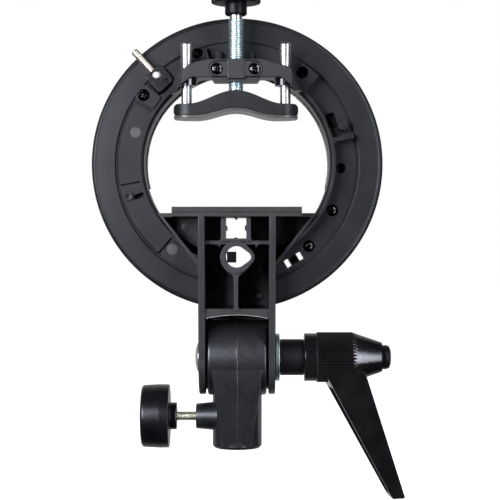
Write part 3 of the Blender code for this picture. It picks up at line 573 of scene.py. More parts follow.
def cut_window(target):
    """Two slots right through, side by side."""
    for start, end in ((-5.4, -2.4), (2.4, 5.4)):
        cut(target, ring_cutter(WINDOW_ANGLE, (58.6, BEHIND, start), (63.3, BEYOND, end)))


def ring_body():
    """The ring with its sunk panels, wells and the openings behind the arm."""
    profile = [(BORE_R, -4.0, 0.3), (BORE_R, 12.4, 0.4), (51.9, 14.0, 0.5), (64.3, 14.0, 0.5),
               (65.0, 13.2, 0.3), (65.0, 6.4), (66.2, 6.4), (66.4, 7.2, 0.8), (77.0, 6.8, 0.3),
               (77.4, 7.1, 0.2), (78.3, 6.7, 0.3), (RIM_R, 5.2, 0.9), (RIM_R, -11.0, 0.6),
               (78.5, -12.0, 0.5), (74.3, -12.0, 0.2), (74.3, -10.6), (56.0, -10.6, 0.2), (56.0, -4.0, 0.2)]
    ring = lathe("ring_body", profile, (0, 0, RING_Z), TO_REAR, 224, 3, closed=True)
    cut_panels(ring)
    cut_wells(ring)
    cut(ring, at_lock(block("block_room", (55.1, BEHIND, -6.1), (67.9, -7.5, 6.1))))
    cut(ring, at_lock(block("rod_groove", (60, BEHIND, -2.6), (90, -7.5, 2.6))))
    cut_window(ring)
    cut(ring, ring_cutter(WINDOW_ANGLE, (59.0, BEHIND, -2.0), (62.8, 0, 2.0)))
    cut_behind_arm(ring)
    return ring


def cut_panels(ring):
    """The recess under the clamp, the sunk panels and the narrow grooves between them."""
    inner, outer = 53.4, 66.2
    cut(ring, prism("top_recess", sector(BORE_R - 4, 66.1, 57, 105, 40), BEHIND, -8.6))
    cut(ring, panel("right_panel", inner, outer, -64, 12.2, ABOVE_RING, -5.0))
    cut(ring, panel("upper_panel", inner, outer, 14.6, 47.0, ABOVE_RING, -5.3))
    for angle in (148.7, 191.0, 229.0):
        cut(ring, ring_cutter(angle, (53.6, ABOVE_RING, -0.5), (66.0, PLATEAU_Y + 2.6, 0.5)))
    cut(ring, panel("left_plate", 53.6, 64.4, 150.0, 190.0, ABOVE_RING, PLATEAU_Y + 0.6, 1.6))
    cut(ring, ring_cutter(198.6, (53.2, ABOVE_RING, -1.3), (58.8, PLATEAU_Y + 5, 1.3)))


def well(angle_deg, radius, depth, size=SCREW_WELL_R):
    """A round cutter that sinks into the ring from the rear."""
    x, z = on_ring(angle_deg, radius)
    return drum("well", (x, 0, z), ALONG_Y, ABOVE_RING, depth, size, 40)


def cut_wells(ring):
    """The screw wells, a round moulding hole and a slot with rounded corners."""
    for screw in SCREWS:
        cut(ring, well(*screw))
    cut(ring, well(-2.4, 56.6, 0, 2.8))
    x, z = on_ring(24.7, 56.3)
    slot = prism("slot", rectangle(-2.8, 2.8, 4.2, -4.2, 1.0), ABOVE_RING, 0)
    slot.data.transform(Matrix.Translation(Vector((x, 0, z)) * MM) @ Matrix.Rotation(-0.25, 4, "Y"))
    cut(ring, slot)


def cut_behind_arm(ring):
    """The ring is open behind the arm's cavity and its two gusset pockets."""
    ceiling = SHELF_Z - SHELF_THICK
    cut(ring, block("cavity", (-EAR_IN - 0.6, BEHIND, 40.6), (EAR_IN + 0.6, ARM_FLOOR, ceiling)))
    for side in (-1, 1):
        pocket = [(side * 40.4, ceiling), (side * 20.0, ceiling), (side * 20.0, 64.0)]
        cut(ring, prism("pocket", pocket, BEHIND, 1.5))
    cut(ring, prism("umbrella_hole", teardrop(0), BEHIND, BEYOND))
    cut(ring, prism("square_hole", square_hole(), BEHIND, BEYOND))


def ring_details():
    """Posts, pads and pegs moulded on the ring."""
    marks = []
    tall_post = [(0, 12.6), (2.7, 12.6, 0.3), (2.9, 5.0), (0, 5.0)]
    ringed_post = [(0, 13.2), (0.9, 13.2), (0.9, 14.9, 0.2), (2.9, 14.9, 0.3), (3.0, 12.0), (0, 12.0)]
    for profile, angle, radius in ((tall_post, 19.7, 61.0), (ringed_post, 197.0, 61.5)):
        x, z = on_ring(angle, radius)
        marks.append(lathe("post", profile, (x, 0, z), TO_REAR, 40, 2))
    corner, base = 1.8, PLATEAU_Y + 3
    for screw, extent, rise in ((SCREWS[0], (53.6, 65.6, 138.8, 147.7), 0.8),
                                (SCREWS[1], (59.4, 66.0, 106.2, 114.0), 0.6)):
        pad = soften(panel("screw_pad", *extent, PLATEAU_Y - rise, base, corner), 0.4)
        marks.append(cut(pad, well(*screw[:2], 0)))
    marks.append(soften(panel("step_pad", 54.0, 65.0, 230.2, 251.0, PLATEAU_Y - 0.5, base, corner), 0.35))
    for x in (-9.6, 7.4):
        marks.append(soften(block("peg", (x - 1.5, -13.0, 174.0), (x + 1.5, -8.0, 180.2)), 0.4))
    return marks


def ejector_discs():
    """Smooth round marks left by the mould."""
    discs = []
    for angle, radius, size, top in ((163.2, 57.2, 2.9, 13.7), (233.2, 58.2, 3.0, 14.7)):
        x, z = on_ring(angle, radius)
        discs.append(drum("disc", (x, 0, z), TO_REAR, 13.0, top, size, 40, 0.15))
    for x in (-28.6, 28.6):
        discs.append(drum("disc", (x, 0, 85.1), TO_REAR, -1.6, -1.1, 2.4, 40, 0.15))
    return discs


# ---- arm
SHELF_Z = box_of("rest_pad")[0].z - GAP
EAR_IN, EAR_OUT = 17.1, 20.7
EAR_R = PIVOT_Z - FRAME_LOW.z
ARM_REAR, ARM_FRONT, ARM_FLOOR = FRAME_LOW.y, 9.0, 6.0
SHELF_THICK = 2.2
UMBRELLA = (-0.45, 68.6)
UMBRELLA_WALL = 2.6
TUBE_REAR, RIB_REAR, BAR_REAR, BAR_TOP = -25.9, -23.9, -22.6, 40.9


def ear_plate(name, start, end):
    ear = arc((0, PIVOT_Z), EAR_R, 180, 360, 40)
    outline = ear + [(EAR_R, PIVOT_Z + 10), (ARM_FRONT, 52), (ARM_FRONT, SHELF_Z), (ARM_REAR, SHELF_Z),
                     (ARM_REAR, 80)]
    return soften(prism(name, outline, start, end, "X"), 0.7)


def teardrop(wall):
    """The umbrella hole's outline, or with a wall round it that is thinner at the nose."""
    big = arc(UMBRELLA, 5.9 + wall, 48, 312, 48)
    nose = arc((UMBRELLA[0] + 5.2, UMBRELLA[1]), 2.8 + 0.7 * wall, -48, 48, 14)
    return big + nose


def corner_fill(corner, side, up, radius, start, end):
    """A concave fillet in the corner between two walls."""
    centre = (corner[0] + side * radius, corner[1] + up * radius)
    low = {(1, 1): 180, (-1, 1): 270, (-1, -1): 0, (1, -1): 90}[side, up]
    overlap = 0.4
    anchor = (corner[0] - side * overlap, corner[1] - up * overlap)
    bend = arc(centre, radius, low, low + 90, 8)
    return prism("fill", [anchor] + bend, start, end)


def arch_line(lift):
    """The curved lower edge of the bar between the ears, from left to right."""
    half, crown, drop = 16.4, 37.9, 1.8
    xs = [half * step / 12 for step in range(-12, 13)]
    return [(x, crown + lift - drop * (x / half) ** 2) for x in xs]


def arch_painted_highlight():
    """A thin light strip along the bar's lower edge: a painted highlight of the edge."""
    outline = arch_line(-0.05) + arch_line(-0.4)[::-1]
    return prism("flash", outline, BAR_REAR - 0.15, BAR_REAR + 1.0)


def bracket_arm():
    """The clevis arm with its shelf, ribs and the two tubes, open towards the user."""
    arm = ear_plate("arm", -EAR_OUT, -EAR_IN)
    fuse(arm, ear_plate("wall", EAR_IN, EAR_OUT))
    side, half, top = EAR_OUT - 0.6, 34.5, SHELF_Z - 0.02
    fuse(arm, block("floor", (-side, ARM_FLOOR, 38.6), (side, ARM_FRONT - 0.1, SHELF_Z - 0.1)))
    fuse(arm, block("shelf", (-half, ARM_REAR + 0.05, SHELF_Z - SHELF_THICK), (half, -10.0, top)))
    add_bar(arm)
    add_tubes(arm)
    for side in (-1, 1):
        add_gusset(arm, side)
    cut(arm, prism("umbrella_hole", teardrop(0), BEHIND, BEYOND))
    cut(arm, prism("square_hole", square_hole(), BEHIND, BEYOND))
    cut(arm, drum("bolt_hole", PIVOT, ALONG_X, -30, 30, BOLT_BORE_R, 40))
    cut_window(arm)
    return arm


def add_bar(arm):
    """The bar between the ears, and the saddle behind it that closes the view over the drum."""
    side = EAR_OUT - 0.5
    outer = [(side, 36.0), (side, BAR_TOP), (-side, BAR_TOP), (-side, 36.0)]
    fuse(arm, prism("bar", arch_line(0.0) + outer, BAR_REAR, 8.0))
    saddle = block("saddle", (-EAR_IN - 1, 7.5, 29.6), (EAR_IN + 1, 11.0, 39.6))
    narrow, wide, flank = 19.6, 22.0, 30
    room = [(0, -flank), (narrow, -flank), (narrow, -16.1), (wide, -13.7), (wide, 13.7), (narrow, 16.1),
            (narrow, flank), (0, flank)]
    cut(saddle, lathe("drum_room", room, PIVOT, ALONG_X))
    fuse(arm, saddle)


def add_tubes(arm):
    """The umbrella tube, the square tube over it, and the ribs that tie them to the ears."""
    left, right, rib_top, rib_low = -8.5, 7.4, 77.4, 75.4
    rib_left, rib_right, rib_end = -1.6, 0.6, 7.0
    fuse(arm, prism("umbrella_wall", teardrop(UMBRELLA_WALL), TUBE_REAR, ARM_FRONT - 0.1))
    fuse(arm, block("square_wall", (left, TUBE_REAR + 0.02, 77.2), (right, ARM_FRONT - 0.1, SHELF_Z - 1)))
    fuse(arm, block("cross_rib", (-EAR_IN - 1, RIB_REAR, rib_low), (EAR_IN + 1, rib_end, rib_top)))
    fuse(arm, block("long_rib", (rib_left, RIB_REAR, 40.0), (rib_right, rib_end, 61.0)))
    for corner, side, up, radius in (((left, rib_top), -1, 1, 1.8), ((right, rib_top), 1, 1, 1.8),
                                     ((-9.2, rib_low), -1, -1, 2.4), ((10.2, rib_low), 1, -1, 2.4),
                                     ((rib_right, BAR_TOP), 1, 1, 1.2), ((rib_left, BAR_TOP), -1, 1, 1.2)):
        fuse(arm, corner_fill(corner, side, up, radius, RIB_REAR + 0.05, rib_end - 0.1))
    foot = [(-8.0, 64.0), (-4.9, 60.5, 4.0), (rib_left, 58.4, 3.0), (rib_left, 52.0), (rib_right, 52.0),
            (rib_right, 58.4, 3.0), (3.9, 60.5, 4.0), (7.0, 64.0)]
    fuse(arm, prism("tube_foot", foot, RIB_REAR + 0.1, rib_end - 0.2))


def add_gusset(arm, side):
    """The sloping wall under one end of the shelf, its floor, and the moulding's ejector bosses."""
    root = side * 20.0
    wall = [(side * 43.3, SHELF_Z - 0.05), (root, 62.2), (root, 65.0), (side * 39.9, 90.2), (root, 90.2),
            (root, SHELF_Z - 0.05)]
    fuse(arm, prism("gusset", wall, PLATEAU_Y - 0.6, 5.0))
    floor = [(side * 42.0, SHELF_Z - 0.4), (root, 63.0), (root, SHELF_Z - 0.4)]
    fuse(arm, prism("gusset_floor", floor, 1.5, 5.2))
    for height in (47.0, 61.5, 75.9):
        fuse(arm, drum("ejector", (side * 12.5, 0, height), TO_REAR, -6.5, -4.9, 2.0, 32, 0.2))


def square_hole():
    """A square opening with a small lump in the middle of each side."""
    left, right, bottom, top = -6.2, 5.0, 78.6, 90.0
    mid_x, mid_z = (left + right) / 2, (bottom + top) / 2
    foot, shoulder, tip, lump = 1.2, 1.4, 1.0, 0.8
    return [(left, bottom), (mid_x - foot, bottom), (mid_x, bottom + 0.7), (mid_x + foot, bottom),
            (right, bottom), (right, mid_z - shoulder), (right - lump, mid_z - tip),
            (right - lump, mid_z + tip), (right, mid_z + shoulder), (right, top), (mid_x + foot, top),
            (mid_x, top - 1.1), (mid_x - foot, top), (left, top), (left, mid_z + shoulder),
            (left + lump, mid_z + tip), (left + lump, mid_z - tip), (left, mid_z - shoulder)]


# ---- bridge
BRIDGE_REAR = -30.5
BRIDGE_TOP, BRIDGE_BOTTOM = 173.7, 163.9
COVER_SCREW_X = 10.0
COVER_Z, COVER_R = 168.4, 4.1
BLOCK_HALF = 4.6


def bridge():
    """The arched bar that carries the clamp's nut and the bushes of its two guide rods."""
    crown = [(-35.9, 156.4), (-33.8, 162.6, 3.0), (-31.6, 166.0, 4.0), (-27.6, 169.2, 5.0),
             (-22.0, 172.2, 8.0), (-14.2, BRIDGE_TOP, 6.0), (13.2, BRIDGE_TOP, 6.0), (28.2, 169.4, 3.0),
             (30.2, 166.0, 2.0), (31.6, 161.6, 1.5), (35.0, 157.6)]
    belly = [(31.4, 157.4), (28.4, 160.2, 3.0), (23.4, BRIDGE_BOTTOM, 3.0), (-24.0, BRIDGE_BOTTOM, 3.0),
             (-30.2, 159.6, 3.0), (-33.0, 156.0)]
    span = soften(prism("bridge", crown + belly, BRIDGE_REAR, -9.0, steps=6), 0.6)
    cut(span, block("back", (-27.0, -14.5, 150), (27.0, 0, 180)))
    for side in (-1, 1):
        foot = PLATEAU_Y - 0.4
        slope = [(side * 29.0, BRIDGE_REAR), (side * 29.0, -45), (side * 60, -45), (side * 60, foot),
                 (side * 39.0, foot)]
        cut(span, prism("slope", slope, 140, 190, "Z"))
    neck_z = BRIDGE_BOTTOM + 1
    housing = [(-14.6, neck_z), (-12.0, 161.6, 0.6), (11.0, 161.6, 0.6), (13.6, neck_z)]
    fuse(span, prism("housing", housing, BRIDGE_REAR + 1, -18.5))
    for rod in (ROD_LEFT, ROD_RIGHT):
        cut(span, upright("bush_bore", rod, 160, 190, 5.0))
        cut(span, upright("flange_room", rod, 140, BRIDGE_BOTTOM, 5.9))
    cut(span, upright("spindle_bore", CLAMP, 150, 190, 4.6))
    middle, half, seat = CLAMP.x, 6.4, BRIDGE_REAR + 2.5
    pocket_y = BRIDGE_REAR + 2.2
    cut(span, block("nut_pocket", (middle - half, pocket_y, 162.6), (middle + half, CLAMP.y + half, 171.0)))
    cut(span, prism("cover_seat", stadium(GAP), BEHIND, seat))
    half = BLOCK_HALF + GAP
    cut(span, block("block_seat", (middle - half, BEHIND, 162.8), (middle + half, seat, 180)))
    return span


def stadium(grow):
    """The cover's outline: two round ends about its screws, joined by straight sides."""
    radius = COVER_R + grow
    left = arc((CLAMP.x - COVER_SCREW_X, COVER_Z), radius, 90, 270, 24)
    return left + arc((CLAMP.x + COVER_SCREW_X, COVER_Z), radius, 270, 450, 24)


def nut_cover():
    """The plate over the nut, with its raised middle block and two screw wells."""
    inner, left, right = BRIDGE_REAR + 2.2, CLAMP.x - BLOCK_HALF, CLAMP.x + BLOCK_HALF
    cover = soften(prism("cover", stadium(0), BRIDGE_REAR - 0.2, inner), 0.35)
    raised = block("raised", (left, BRIDGE_REAR - 0.8, 163.1), (right, inner, BRIDGE_TOP))
    fuse(cover, soften(raised, 0.35))
    for side in (-1, 1):
        x = CLAMP.x + side * COVER_SCREW_X
        cut(cover, drum("well", (x, 0, COVER_Z), ALONG_Y, BEHIND, BRIDGE_REAR + 1.6, SCREW_WELL_R, 40))
    return cover


def build_head():
    """The frame, its fasteners and everything that stays with it when it tilts."""
    piece(ring_body(), "ring_moulding", "head", NYLON, ["ring_frame"])
    for number, detail in enumerate(ring_details(), 1):
        piece(detail, f"ring_detail_{number}", "head", NYLON)
    for number, disc in enumerate(ejector_discs(), 1):
        # The discs' lighter colour is a painted sheen.
        piece(disc, f"ejector_disc_{number}", "head", DISC_NYLON_PAINTED_SHEEN)
    # The arm, bridge and nut cover use the copy of the black nylon that is painted lighter.
    piece(bracket_arm(), "arm_moulding", "head", PAINTED_LIGHTER_NYLON)
    # The light strip along the bar's lower edge is a painted highlight.
    piece(arch_painted_highlight(), "arch_painted_highlight_line", "head", PAINTED_HIGHLIGHT_LINE)
    piece(bridge(), "clamp_bridge", "head", PAINTED_LIGHTER_NYLON)
    stand_in(nut_cover(), "nut_cover", "head", PAINTED_LIGHTER_NYLON)
    for side, word in ((-1, "left"), (1, "right")):
        place = CLAMP.x + side * COVER_SCREW_X, BRIDGE_REAR + 1.3, COVER_Z
        cross_screw(f"cover_screw_head_{word}", f"nut_cover_screw_{word}", *place, 2.8, 1.6)
    for number, (angle, radius, depth) in enumerate(SCREWS, 1):
        x, z = on_ring(angle, radius)
        cross_screw(f"ring_screw_head_{number}", f"bayonet_screw_{number}", x, depth - GAP, z, 2.9, 2.1)
    piece(rest_strip(), "rest_strip", "head", RUBBER, ["rest_pad"])


def rest_strip():
    """The rubber strip the flash stands on, with seven grooves across its top."""
    low, high = box_of("rest_pad")
    strip = soften(block("rest", low - Vector((0, 0, GAP - 0.03)), high), 0.25)
    for line in range(7):
        place = (0, low.y + 4.0 + 4.2 * line, high.z + 0.35)
        cut(strip, drum("groove", place, ALONG_X, -40, 40, 0.7, 16))
    return strip


def swivel_pieces():
    """The swivel bolt with its washer and spacer sleeve."""
    low, high = box_of("swivel_bolt")
    end, under = -low.x, 21.0
    dome = [(0, end), (3.5, end - 0.1), (6.4, end - 0.7), (8.3, end - 1.6, 0.2), (8.3, under), (0, under)]
    head = lathe("bolt_head", dome, PIVOT, TO_LEFT, 64, 3)
    shank = drum("bolt_shank", PIVOT, ALONG_X, -under - 0.1, 24.5, 4.0, 40)
    thread = screw_thread("bolt_thread", PIVOT, ALONG_X, 24.0, high.x, 4.0, 1.25, 0.55)
    stand_in(joined("bolt", [head, shank, thread]), "swivel_bolt", "head", CHROME)
    for node, outer, soft, body, slot, material in (
            ("swivel_washer", 13.0, 0.35, "head", "zinc_steel", ZINC),
            ("spacer_sleeve", 9.9, 0.5, "sleeve", MATT, SLEEVE_NYLON)):
        low, high = box_of(node)
        wall = [(BOLT_BORE_R, low.x, 0.1), (BOLT_BORE_R, high.x, 0.1), (outer, high.x, soft),
                (outer, low.x, soft)]
        stand_in(lathe(node, wall, PIVOT, ALONG_X, 96, 3, closed=True), node, body, material)


# ---- lever
BARREL_R, RIB_DEPTH, RIB_COUNT = 13.75, 0.75, 46
BLADE_LEAN, BLADE_HALF = 0.11, 12.0


def barrel_ribs(angle, radius, height):
    """Narrow grooves along the barrel, which run out in points where the cone falls below them."""
    if radius < 11.5 or not 36.8 < height < 70.0:
        return radius
    groove = (0.5 - 0.5 * cos(RIB_COUNT * angle)) ** 1.5
    return min(radius, BARREL_R - RIB_DEPTH * groove)


def narrowed(obj):
    """Narrows the blade evenly from the hub to its tip, and sets its far side back toward the ring."""
    for vert in obj.data.vertices:
        vert.co.y *= 1.0 - 0.4 * (PIVOT_Z - vert.co.z / MM) / 77.0
        vert.co.x -= BLADE_LEAN * (vert.co.y + BLADE_HALF * MM)
    return obj


def lever():
    """The ratchet lever's ribbed barrel with its hollow blade, and the button on its end."""
    low, high = box_of("lever_handle")
    start, end, collar, room_r, room_end = low.x, 79.5, 13.1, 9.6, 61.2
    outer = [(7.0, end), (8.1, end, 0.6), (13.3, 64.2, 0.2), (BARREL_R, 62.8, 0.4), (BARREL_R, 43.7, 0.3),
             (collar, 43.4, 0.1), (collar, start, 0.5), (room_r, start)]
    inner = [(room_r, room_end), (3.4, room_end), (3.4, 63.0), (7.0, 63.0)]
    profile = filleted(outer, closed=False)
    dense = []
    for (radius, height), (next_radius, next_height) in zip(profile, profile[1:]):
        spacing = 0.4 if height > 63.0 else 1.2
        parts = max(1, int(abs(height - next_height) / spacing))
        dense += [(radius + (next_radius - radius) * k / parts, height + (next_height - height) * k / parts)
                  for k in range(parts)]
    dense.append(profile[-1])
    hub = lathe("hub", dense + inner, PIVOT, ALONG_X, 416, closed=True, wave=barrel_ribs)
    root, tip, floor = PIVOT_Z - 7.1, low.z, PIVOT_Z - 74.0
    blade = [(47.4, root), (69.6, root), (92.35, tip + 0.4, 0.9), (85.4, tip, 0.9)]
    arm = soften(narrowed(prism("blade", blade, -BLADE_HALF, BLADE_HALF)), 0.4)
    channel = [(42.0, PIVOT_Z - 16.5), (58.0, PIVOT_Z - 16.5, 3.0), (65.0, PIVOT_Z - 20.5, 3.0),
               (88.2, floor, 0.8), (66.0, floor)]
    cut(arm, narrowed(prism("channel", channel, -9.8, 9.8)))
    fuse(hub, arm)
    cut(hub, drum("hub_room", PIVOT, ALONG_X, start - 1, room_end, room_r, 96))
    stand_in(hub, "lever_handle", "lever_handle", HANDLE)
    low, high = box_of("lever_screw")
    end, rim_r, stem_r, under = high.x, 6.7, 2.5, 77.4
    cap = [(0, end), (4.2, end - 0.05), (6.1, end - 0.9, 0.4), (rim_r, end - 2.4, 0.5), (rim_r, under, 0.2),
           (stem_r, under), (stem_r, low.x), (0, low.x)]
    stand_in(lathe("button", cap, PIVOT, ALONG_X, 80), "lever_screw", "lever_core", GLOSS)


# ---- stand socket
def stand_socket():
    """The tilting drum, the wedge under it and the round receiver, with the thumbscrew's boss."""
    bottom = box_of("stand_socket")[0].z
    drum_r, half_width, ridge = 21.0, 16.0, 0.19
    side_r = drum_r - 0.45
    halves = [(0, half_width), (side_r, half_width, 1.3), (drum_r, 0.35), (drum_r + ridge, 0.15),
              (drum_r + ridge, -0.15), (drum_r, -0.35), (side_r, -half_width, 1.3), (0, -half_width)]
    body = lathe("socket", halves, PIVOT, ALONG_X, 160)
    tube = [(0, 4), (13.5, 4), (13.5, bottom + 1.3, 0.6), (12.3, bottom, 0.3), (0, bottom)]
    fuse(body, lathe("receiver", tube, (0, 0, 0), ALONG_Z, 128))
    fuse(body, neck(bottom))
    boss = [(0, 22.6), (6.8, 22.6, 0.6), (8.0, 10.0), (0, 10.0)]
    fuse(body, lathe("boss", boss, TIP, TO_LEFT, 80))
    cut(body, drum("bore", (0, 0, 0), ALONG_Z, bottom - 1, 0, 8.15, 96))
    cut(body, drum("bolt_bore", PIVOT, ALONG_X, -20, 20, BOLT_BORE_R, 48))
    cut(body, drum("insert_bore", TIP, ALONG_X, -24, -16.4, 4.0, 48))
    cut(body, drum("tip_bore", TIP, ALONG_X, -18, -4, 3.3, 40))
    stand_in(body, "stand_socket", "base", CASTING)


def neck(bottom):
    """The wedge between drum and receiver, with a faint parting ridge down its middle."""
    shape = bmesh.new()
    levels = ((PIVOT_Z, 14.1, 20.75), (-3.0, 12.6, 19.2), (bottom + 0.8, 7.4, 12.6))
    rings = []
    for z, half_x, half_y in levels:
        drafted, far = half_y - 0.4, half_y - 1.2
        corners = ((-half_x, -drafted), (-0.35, -half_y), (0.0, -half_y - 0.25), (0.35, -half_y),
                   (half_x, -drafted), (half_x, far), (0.0, far + 0.3), (-half_x, far))
        rings.append([shape.verts.new((x, y, z)) for x, y in corners])
    bridge_rings(shape, rings)
    shape.faces.new(rings[0])
    shape.faces.new(rings[-1])
    return soften(to_object("neck", shape), 0.5, 3, 60)


def thumbscrew():
    """The threaded stud, its flat round knob and the cap on the knob's end."""
    low, high = box_of("thumbscrew_stud")
    stud = screw_thread("stud", TIP, ALONG_X, low.x, high.x, 2.5, 0.8, 0.28)
    stand_in(stud, "thumbscrew_stud", "thumbscrew", WARM_STEEL)
    low, high = box_of("thumbscrew_knob")
    inner, outer, bore_r, hub_r, cap_r = high.x, low.x, 2.8, 7.4, 9.6
    profile = [(bore_r, inner), (7.2, inner, 0.3), (hub_r, inner - 0.5, 0.2), (hub_r, inner - 3.9, 0.6),
               (17.3, inner - 4.1, 0.5), (17.4, inner - 9.0, 6.0), (16.9, outer + 0.7, 2.0),
               (cap_r, outer, 0.2), (cap_r, outer + 1.4), (bore_r, outer + 1.4)]
    knob = lathe("knob", profile, TIP, ALONG_X, 144, 6, closed=True)
    stand_in(knob, "thumbscrew_knob", "thumbscrew", KNOB_NYLON)
    low, high = box_of("knob_end_cap")
    cap = [(0, -low.x), (6.0, -low.x - 0.05), (9.3, -low.x - 0.3, 0.3), (9.3, -high.x), (0, -high.x)]
    stand_in(lathe("cap", cap, TIP, TO_LEFT, 80), "knob_end_cap", "thumbscrew", GLOSS)


# ---- clamp
JAW_LOW, JAW_HIGH = box_of("jaw_beam")
CROWN_REACH, ARCH_REACH, ARCH_Z = 24.0, 21.0, 147.6


def bell(x, reach):
    """A smooth rise from 0 at a distance of reach from the middle to 1 in the middle."""
    return 0.5 + 0.5 * cos(pi * min(1.0, abs(x) / reach))


def jaw_under(x):
    """Height of the jaw's underside at a distance x from its middle."""
    return JAW_LOW.z + (ARCH_Z - JAW_LOW.z) * bell(x, ARCH_REACH)


def spaced(low, high, steps):
    return [low + (high - low) * step / steps for step in range(steps + 1)]


def round_ends(bar, low, high):
    """Rounds a bar's four upright corners, as seen from above."""
    plan = rectangle(low.x, high.x, low.y, high.y, 9.0)
    boolean(bar, prism("plan", plan, 130, 170, "Z", 8), "INTERSECT")


def jaw():
    """The clamp's moving jaw with its rubber pad and two guide rods."""
    low, high = JAW_LOW, JAW_HIGH
    shoulder, bend, foot = 149.6, 2.4, 2.0
    top = arc((high.x - bend, shoulder - bend), bend, 0, 90, 6)
    for x in spaced(CROWN_REACH, -CROWN_REACH, 40):
        top.append((CLAMP.x + x, shoulder + (high.z - shoulder) * bell(x, CROWN_REACH) ** 0.85))
    top += arc((low.x + bend, shoulder - bend), bend, 90, 180, 6)
    bottom = arc((low.x + foot, low.z + foot), foot, 180, 270, 5)
    bottom += [(CLAMP.x + x, jaw_under(x)) for x in spaced(-ARCH_REACH, ARCH_REACH, 40)]
    bottom += arc((high.x - foot, low.z + foot), foot, 270, 360, 5)
    beam = prism("beam", top + bottom, low.y, high.y)
    round_ends(beam, low, high)
    soften(beam, 0.6, 3, 45)
    cut(beam, upright("seat", CLAMP, 150.0, 162, 4.3, 40))
    cut(beam, upright("retainer_room", CLAMP, 140, 150.6, 6.2, 40))
    for rod in (ROD_LEFT, ROD_RIGHT):
        cut(beam, upright("rod_seat", rod, 147.2, 162, 3.5))
        cut(beam, upright("screw_hole", rod, 140, 150, 1.8, 24))
        cut(beam, upright("screw_well", rod, 140, 145.9, 3.2, 40))
    stand_in(beam, "jaw_beam", "jaw", NYLON)
    low, high = box_of("jaw_pad")
    xs = spaced(low.x - CLAMP.x + GAP, high.x - CLAMP.x - GAP, 72)
    upper, lower = ([(CLAMP.x + x, jaw_under(x) - drop) for x in xs] for drop in (0.1, 1.5))
    pad = prism("pad", upper + lower[::-1], low.y, high.y)
    round_ends(pad, low, high)
    stand_in(soften(pad, 0.25, 2, 45), "jaw_pad", "jaw", PAD_RUBBER)
    for rod, word in ((ROD_LEFT, "left"), (ROD_RIGHT, "right")):
        node = f"guide_rod_{word}"
        low, high = box_of(node)
        profile = [(0, high.z), (2.2, high.z, 0.3), (3.2, high.z - 1.1, 0.5), (3.15, high.z - 4.0, 2.0),
                   (2.8, high.z - 15.0, 4.0), (2.8, low.z, 0.2), (0, low.z)]
        stand_in(lathe(node, profile, (rod.x, rod.y, 0), ALONG_Z, 64), node, "jaw", CHROME)


def knob_ribs(angle, radius, height):
    """Flutes round the spindle knob's grip."""
    if radius < 12.0:
        return radius
    return radius - 0.75 * (0.5 - 0.5 * cos(30 * angle)) ** 2


def spindle():
    """The clamp's threaded spindle with its plain neck, fluted knob and cap."""
    low, high = box_of("spindle_screw")
    place = (CLAMP.x, CLAMP.y, 0)
    thread_start, thread_end = 150.0, 195.2
    thread = screw_thread("thread", place, ALONG_Z, thread_start, thread_end, 4.0, 1.25, 0.42, 48)
    core = upright("core", CLAMP, thread_start, thread_end, 3.6)
    tail = upright("tail", CLAMP, low.z, thread_start + 0.6, 2.6, 40)
    whole = joined("spindle", [thread, core, tail])
    piece(whole, "spindle_fine", "spindle", ZINC, ["spindle_screw"])
    plain = upright("plain_neck", CLAMP, thread_end - 0.2, high.z, 3.4, 48, 0.3)
    piece(plain, "spindle_neck_fine", "spindle", CHROME)
    low, high = box_of("spindle_knob")
    hub_bottom, rim_bottom, seat, top = low.z + 1.0, low.z + 7.4, high.z - 1.6, high.z
    bore_r, cap_r, grip_r, hub_r = 3.7, 9.4, 13.2, 5.9
    profile = [(bore_r, seat), (cap_r, seat, 0.1), (cap_r, top, 0.2), (11.4, top, 0.8),
               (grip_r, top - 1.8, 0.8), (grip_r, top - 3.0), (grip_r, rim_bottom + 2.2),
               (grip_r, rim_bottom, 0.7), (hub_r, rim_bottom, 0.4), (hub_r, hub_bottom + 0.8, 0.2),
               (5.1, hub_bottom, 0.1), (bore_r, hub_bottom)]
    grip = lathe("grip", profile, place, ALONG_Z, 360, 3, closed=True, wave=knob_ribs)
    stand_in(grip, "spindle_knob", "spindle", TOP_KNOB)
    low, high = box_of("spindle_knob_cap")
    cap = [(0, high.z), (7.5, high.z), (9.1, high.z - 0.3, 0.3), (9.1, low.z), (0, low.z)]
    stand_in(lathe("cap", cap, place, ALONG_Z, 80), "spindle_knob_cap", "spindle", GLOSS)


# ---- modifier lock
def modifier_lock():
    """The release block, its lock pin and the rod that pulls them out of the ring."""
    body = rectangle(55.6, 67.4, -5.6, 5.6, 1.8)
    slide = soften(prism("slide", body, -17.0, -8.0, steps=6), 0.6)
    cut(slide, drum("pin_seat", (LOCK_R, 0, 0), ALONG_Y, -20, -15.6, 2.8, 40))
    cut(slide, drum("mark", (57.9, 0, -2.6), ALONG_Y, -20, -16.2, 1.25, 32))
    stand_in(at_lock(slide), "release_block", "lock", SMOOTH_NYLON)
    rivet = [(0, 17.7), (1.6, 17.6), (2.4, 16.9, 0.3), (2.4, 15.0), (2.2, 14.9), (2.2, -15.6, 0.1),
             (1.6, -16.5, 0.1), (0, -16.5)]
    pin = lathe("pin", rivet, (LOCK_R, 0, 0), TO_REAR, 56)
    stand_in(at_lock(pin), "lock_pin", "lock", PIN_STEEL)
    pull = [(0, 82.5), (2.0, 82.5, 0.8), (2.0, 79.0, 3.0), (1.85, 77.0, 3.0), (1.85, 66.9), (0, 66.9)]
    handle = lathe("pull", pull, (0, -12.5, 0), ALONG_X, 48)
    stand_in(at_lock(handle), "release_rod", "lock", WARM_CHROME)


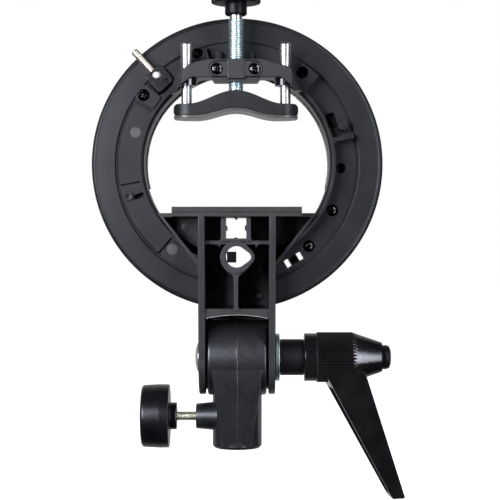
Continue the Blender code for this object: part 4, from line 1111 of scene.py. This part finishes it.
def dress_packed():
    """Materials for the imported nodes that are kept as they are."""
    dress(PLATE_STEEL, "bayonet_ring")
    dress(STEEL, "spindle_nut", "spindle_retainer", "lock_spring", "pin_collar")
    dress(STEEL, "lever_insert", "lever_spring")
    dress(GLOSS, "umbrella_clip", "guide_bush_left", "guide_bush_right")
    dress(RUBBER, "friction_disc_left", "friction_disc_right")
    dress(BRASS, "socket_thread_insert", "pressure_tip")
    dress(ZINC, "rod_screw_left", "rod_screw_right")


# ---- stage
def studio():
    """A pale floor that glows to the camera alone, a sky brighter from the front, and two softboxes."""
    floor_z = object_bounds()[0][2] - 0.002
    shape = bmesh.new()
    bmesh.ops.create_grid(shape, x_segments=1, y_segments=1, size=6000)
    floor = to_object("studio_floor", shape, (0, 0, floor_z / MM))
    paint = Nodes(bpy.data.materials.new("pale_floor"))
    colour = paint.blend(paint.noise(600.0), (0.93, 0.93, 0.93), (0.96, 0.96, 0.96))
    paint.link(colour, paint.shader.inputs["Base Color"])
    paint.shader.inputs["Roughness"].default_value = 0.9
    paint.shader.inputs["Emission Color"].default_value = (1.0, 1.0, 1.0, 1.0)
    glow = paint.span(paint.seen_directly(), 0.0, 1.0, 0.0, 0.9)
    paint.link(glow, paint.shader.inputs["Emission Strength"])
    floor.data.materials.append(paint.material)
    floor.visible_diffuse = floor.visible_glossy = floor.visible_shadow = False
    floor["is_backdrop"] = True
    softbox("left_softbox", (-660, -880, 280), (760, 500), 20.0)
    softbox("right_softbox", (700, -770, 260), (130, 1600), 12.0)
    world = bpy.data.worlds.new("studio")
    bpy.context.scene.world = world
    sky = Nodes(world)
    split = sky.add("ShaderNodeSeparateXYZ")
    sky.link(sky.add("ShaderNodeTexCoord").outputs["Generated"], split.inputs["Vector"])
    ramp = sky.span(split.outputs["Y"], 0.3, 0.8, 0.015, 0.6)
    sky.link(sky.combine("MAXIMUM", ramp, sky.seen_directly()), sky.shader.inputs["Strength"])
    sky.shader.inputs["Color"].default_value = (1.0, 1.0, 1.0, 1.0)
    bpy.context.scene.view_settings.view_transform = "Standard"


def softbox(name, place, size, power):
    light = bpy.data.lights.new(name, "AREA")
    light.shape = "RECTANGLE"
    light.size, light.size_y = size[0] * MM, size[1] * MM
    light.energy = power
    lamp = placed(name, light)
    lamp.location = Vector(place) * MM
    aim = Vector((0, 0, 80)) * MM - lamp.location
    lamp.rotation_euler = aim.to_track_quat("-Z", "Y").to_euler()


def camera():
    distance, field = 800.0, 275.0
    lens = bpy.data.cameras.new("camera")
    lens.sensor_width = 36.0
    lens.lens = 36.0 * distance / field
    lens.clip_start = 0.01
    eye = placed("camera", lens)
    eye.location = Vector((7.0, -distance, PIVOT_Z + 58.9)) * MM
    eye.rotation_euler = (pi / 2, 0.0, 0.0)
    bpy.context.scene.camera = eye


build_head()
swivel_pieces()
lever()
stand_socket()
thumbscrew()
jaw()
spindle()
modifier_lock()
dress_packed()
studio()
camera()
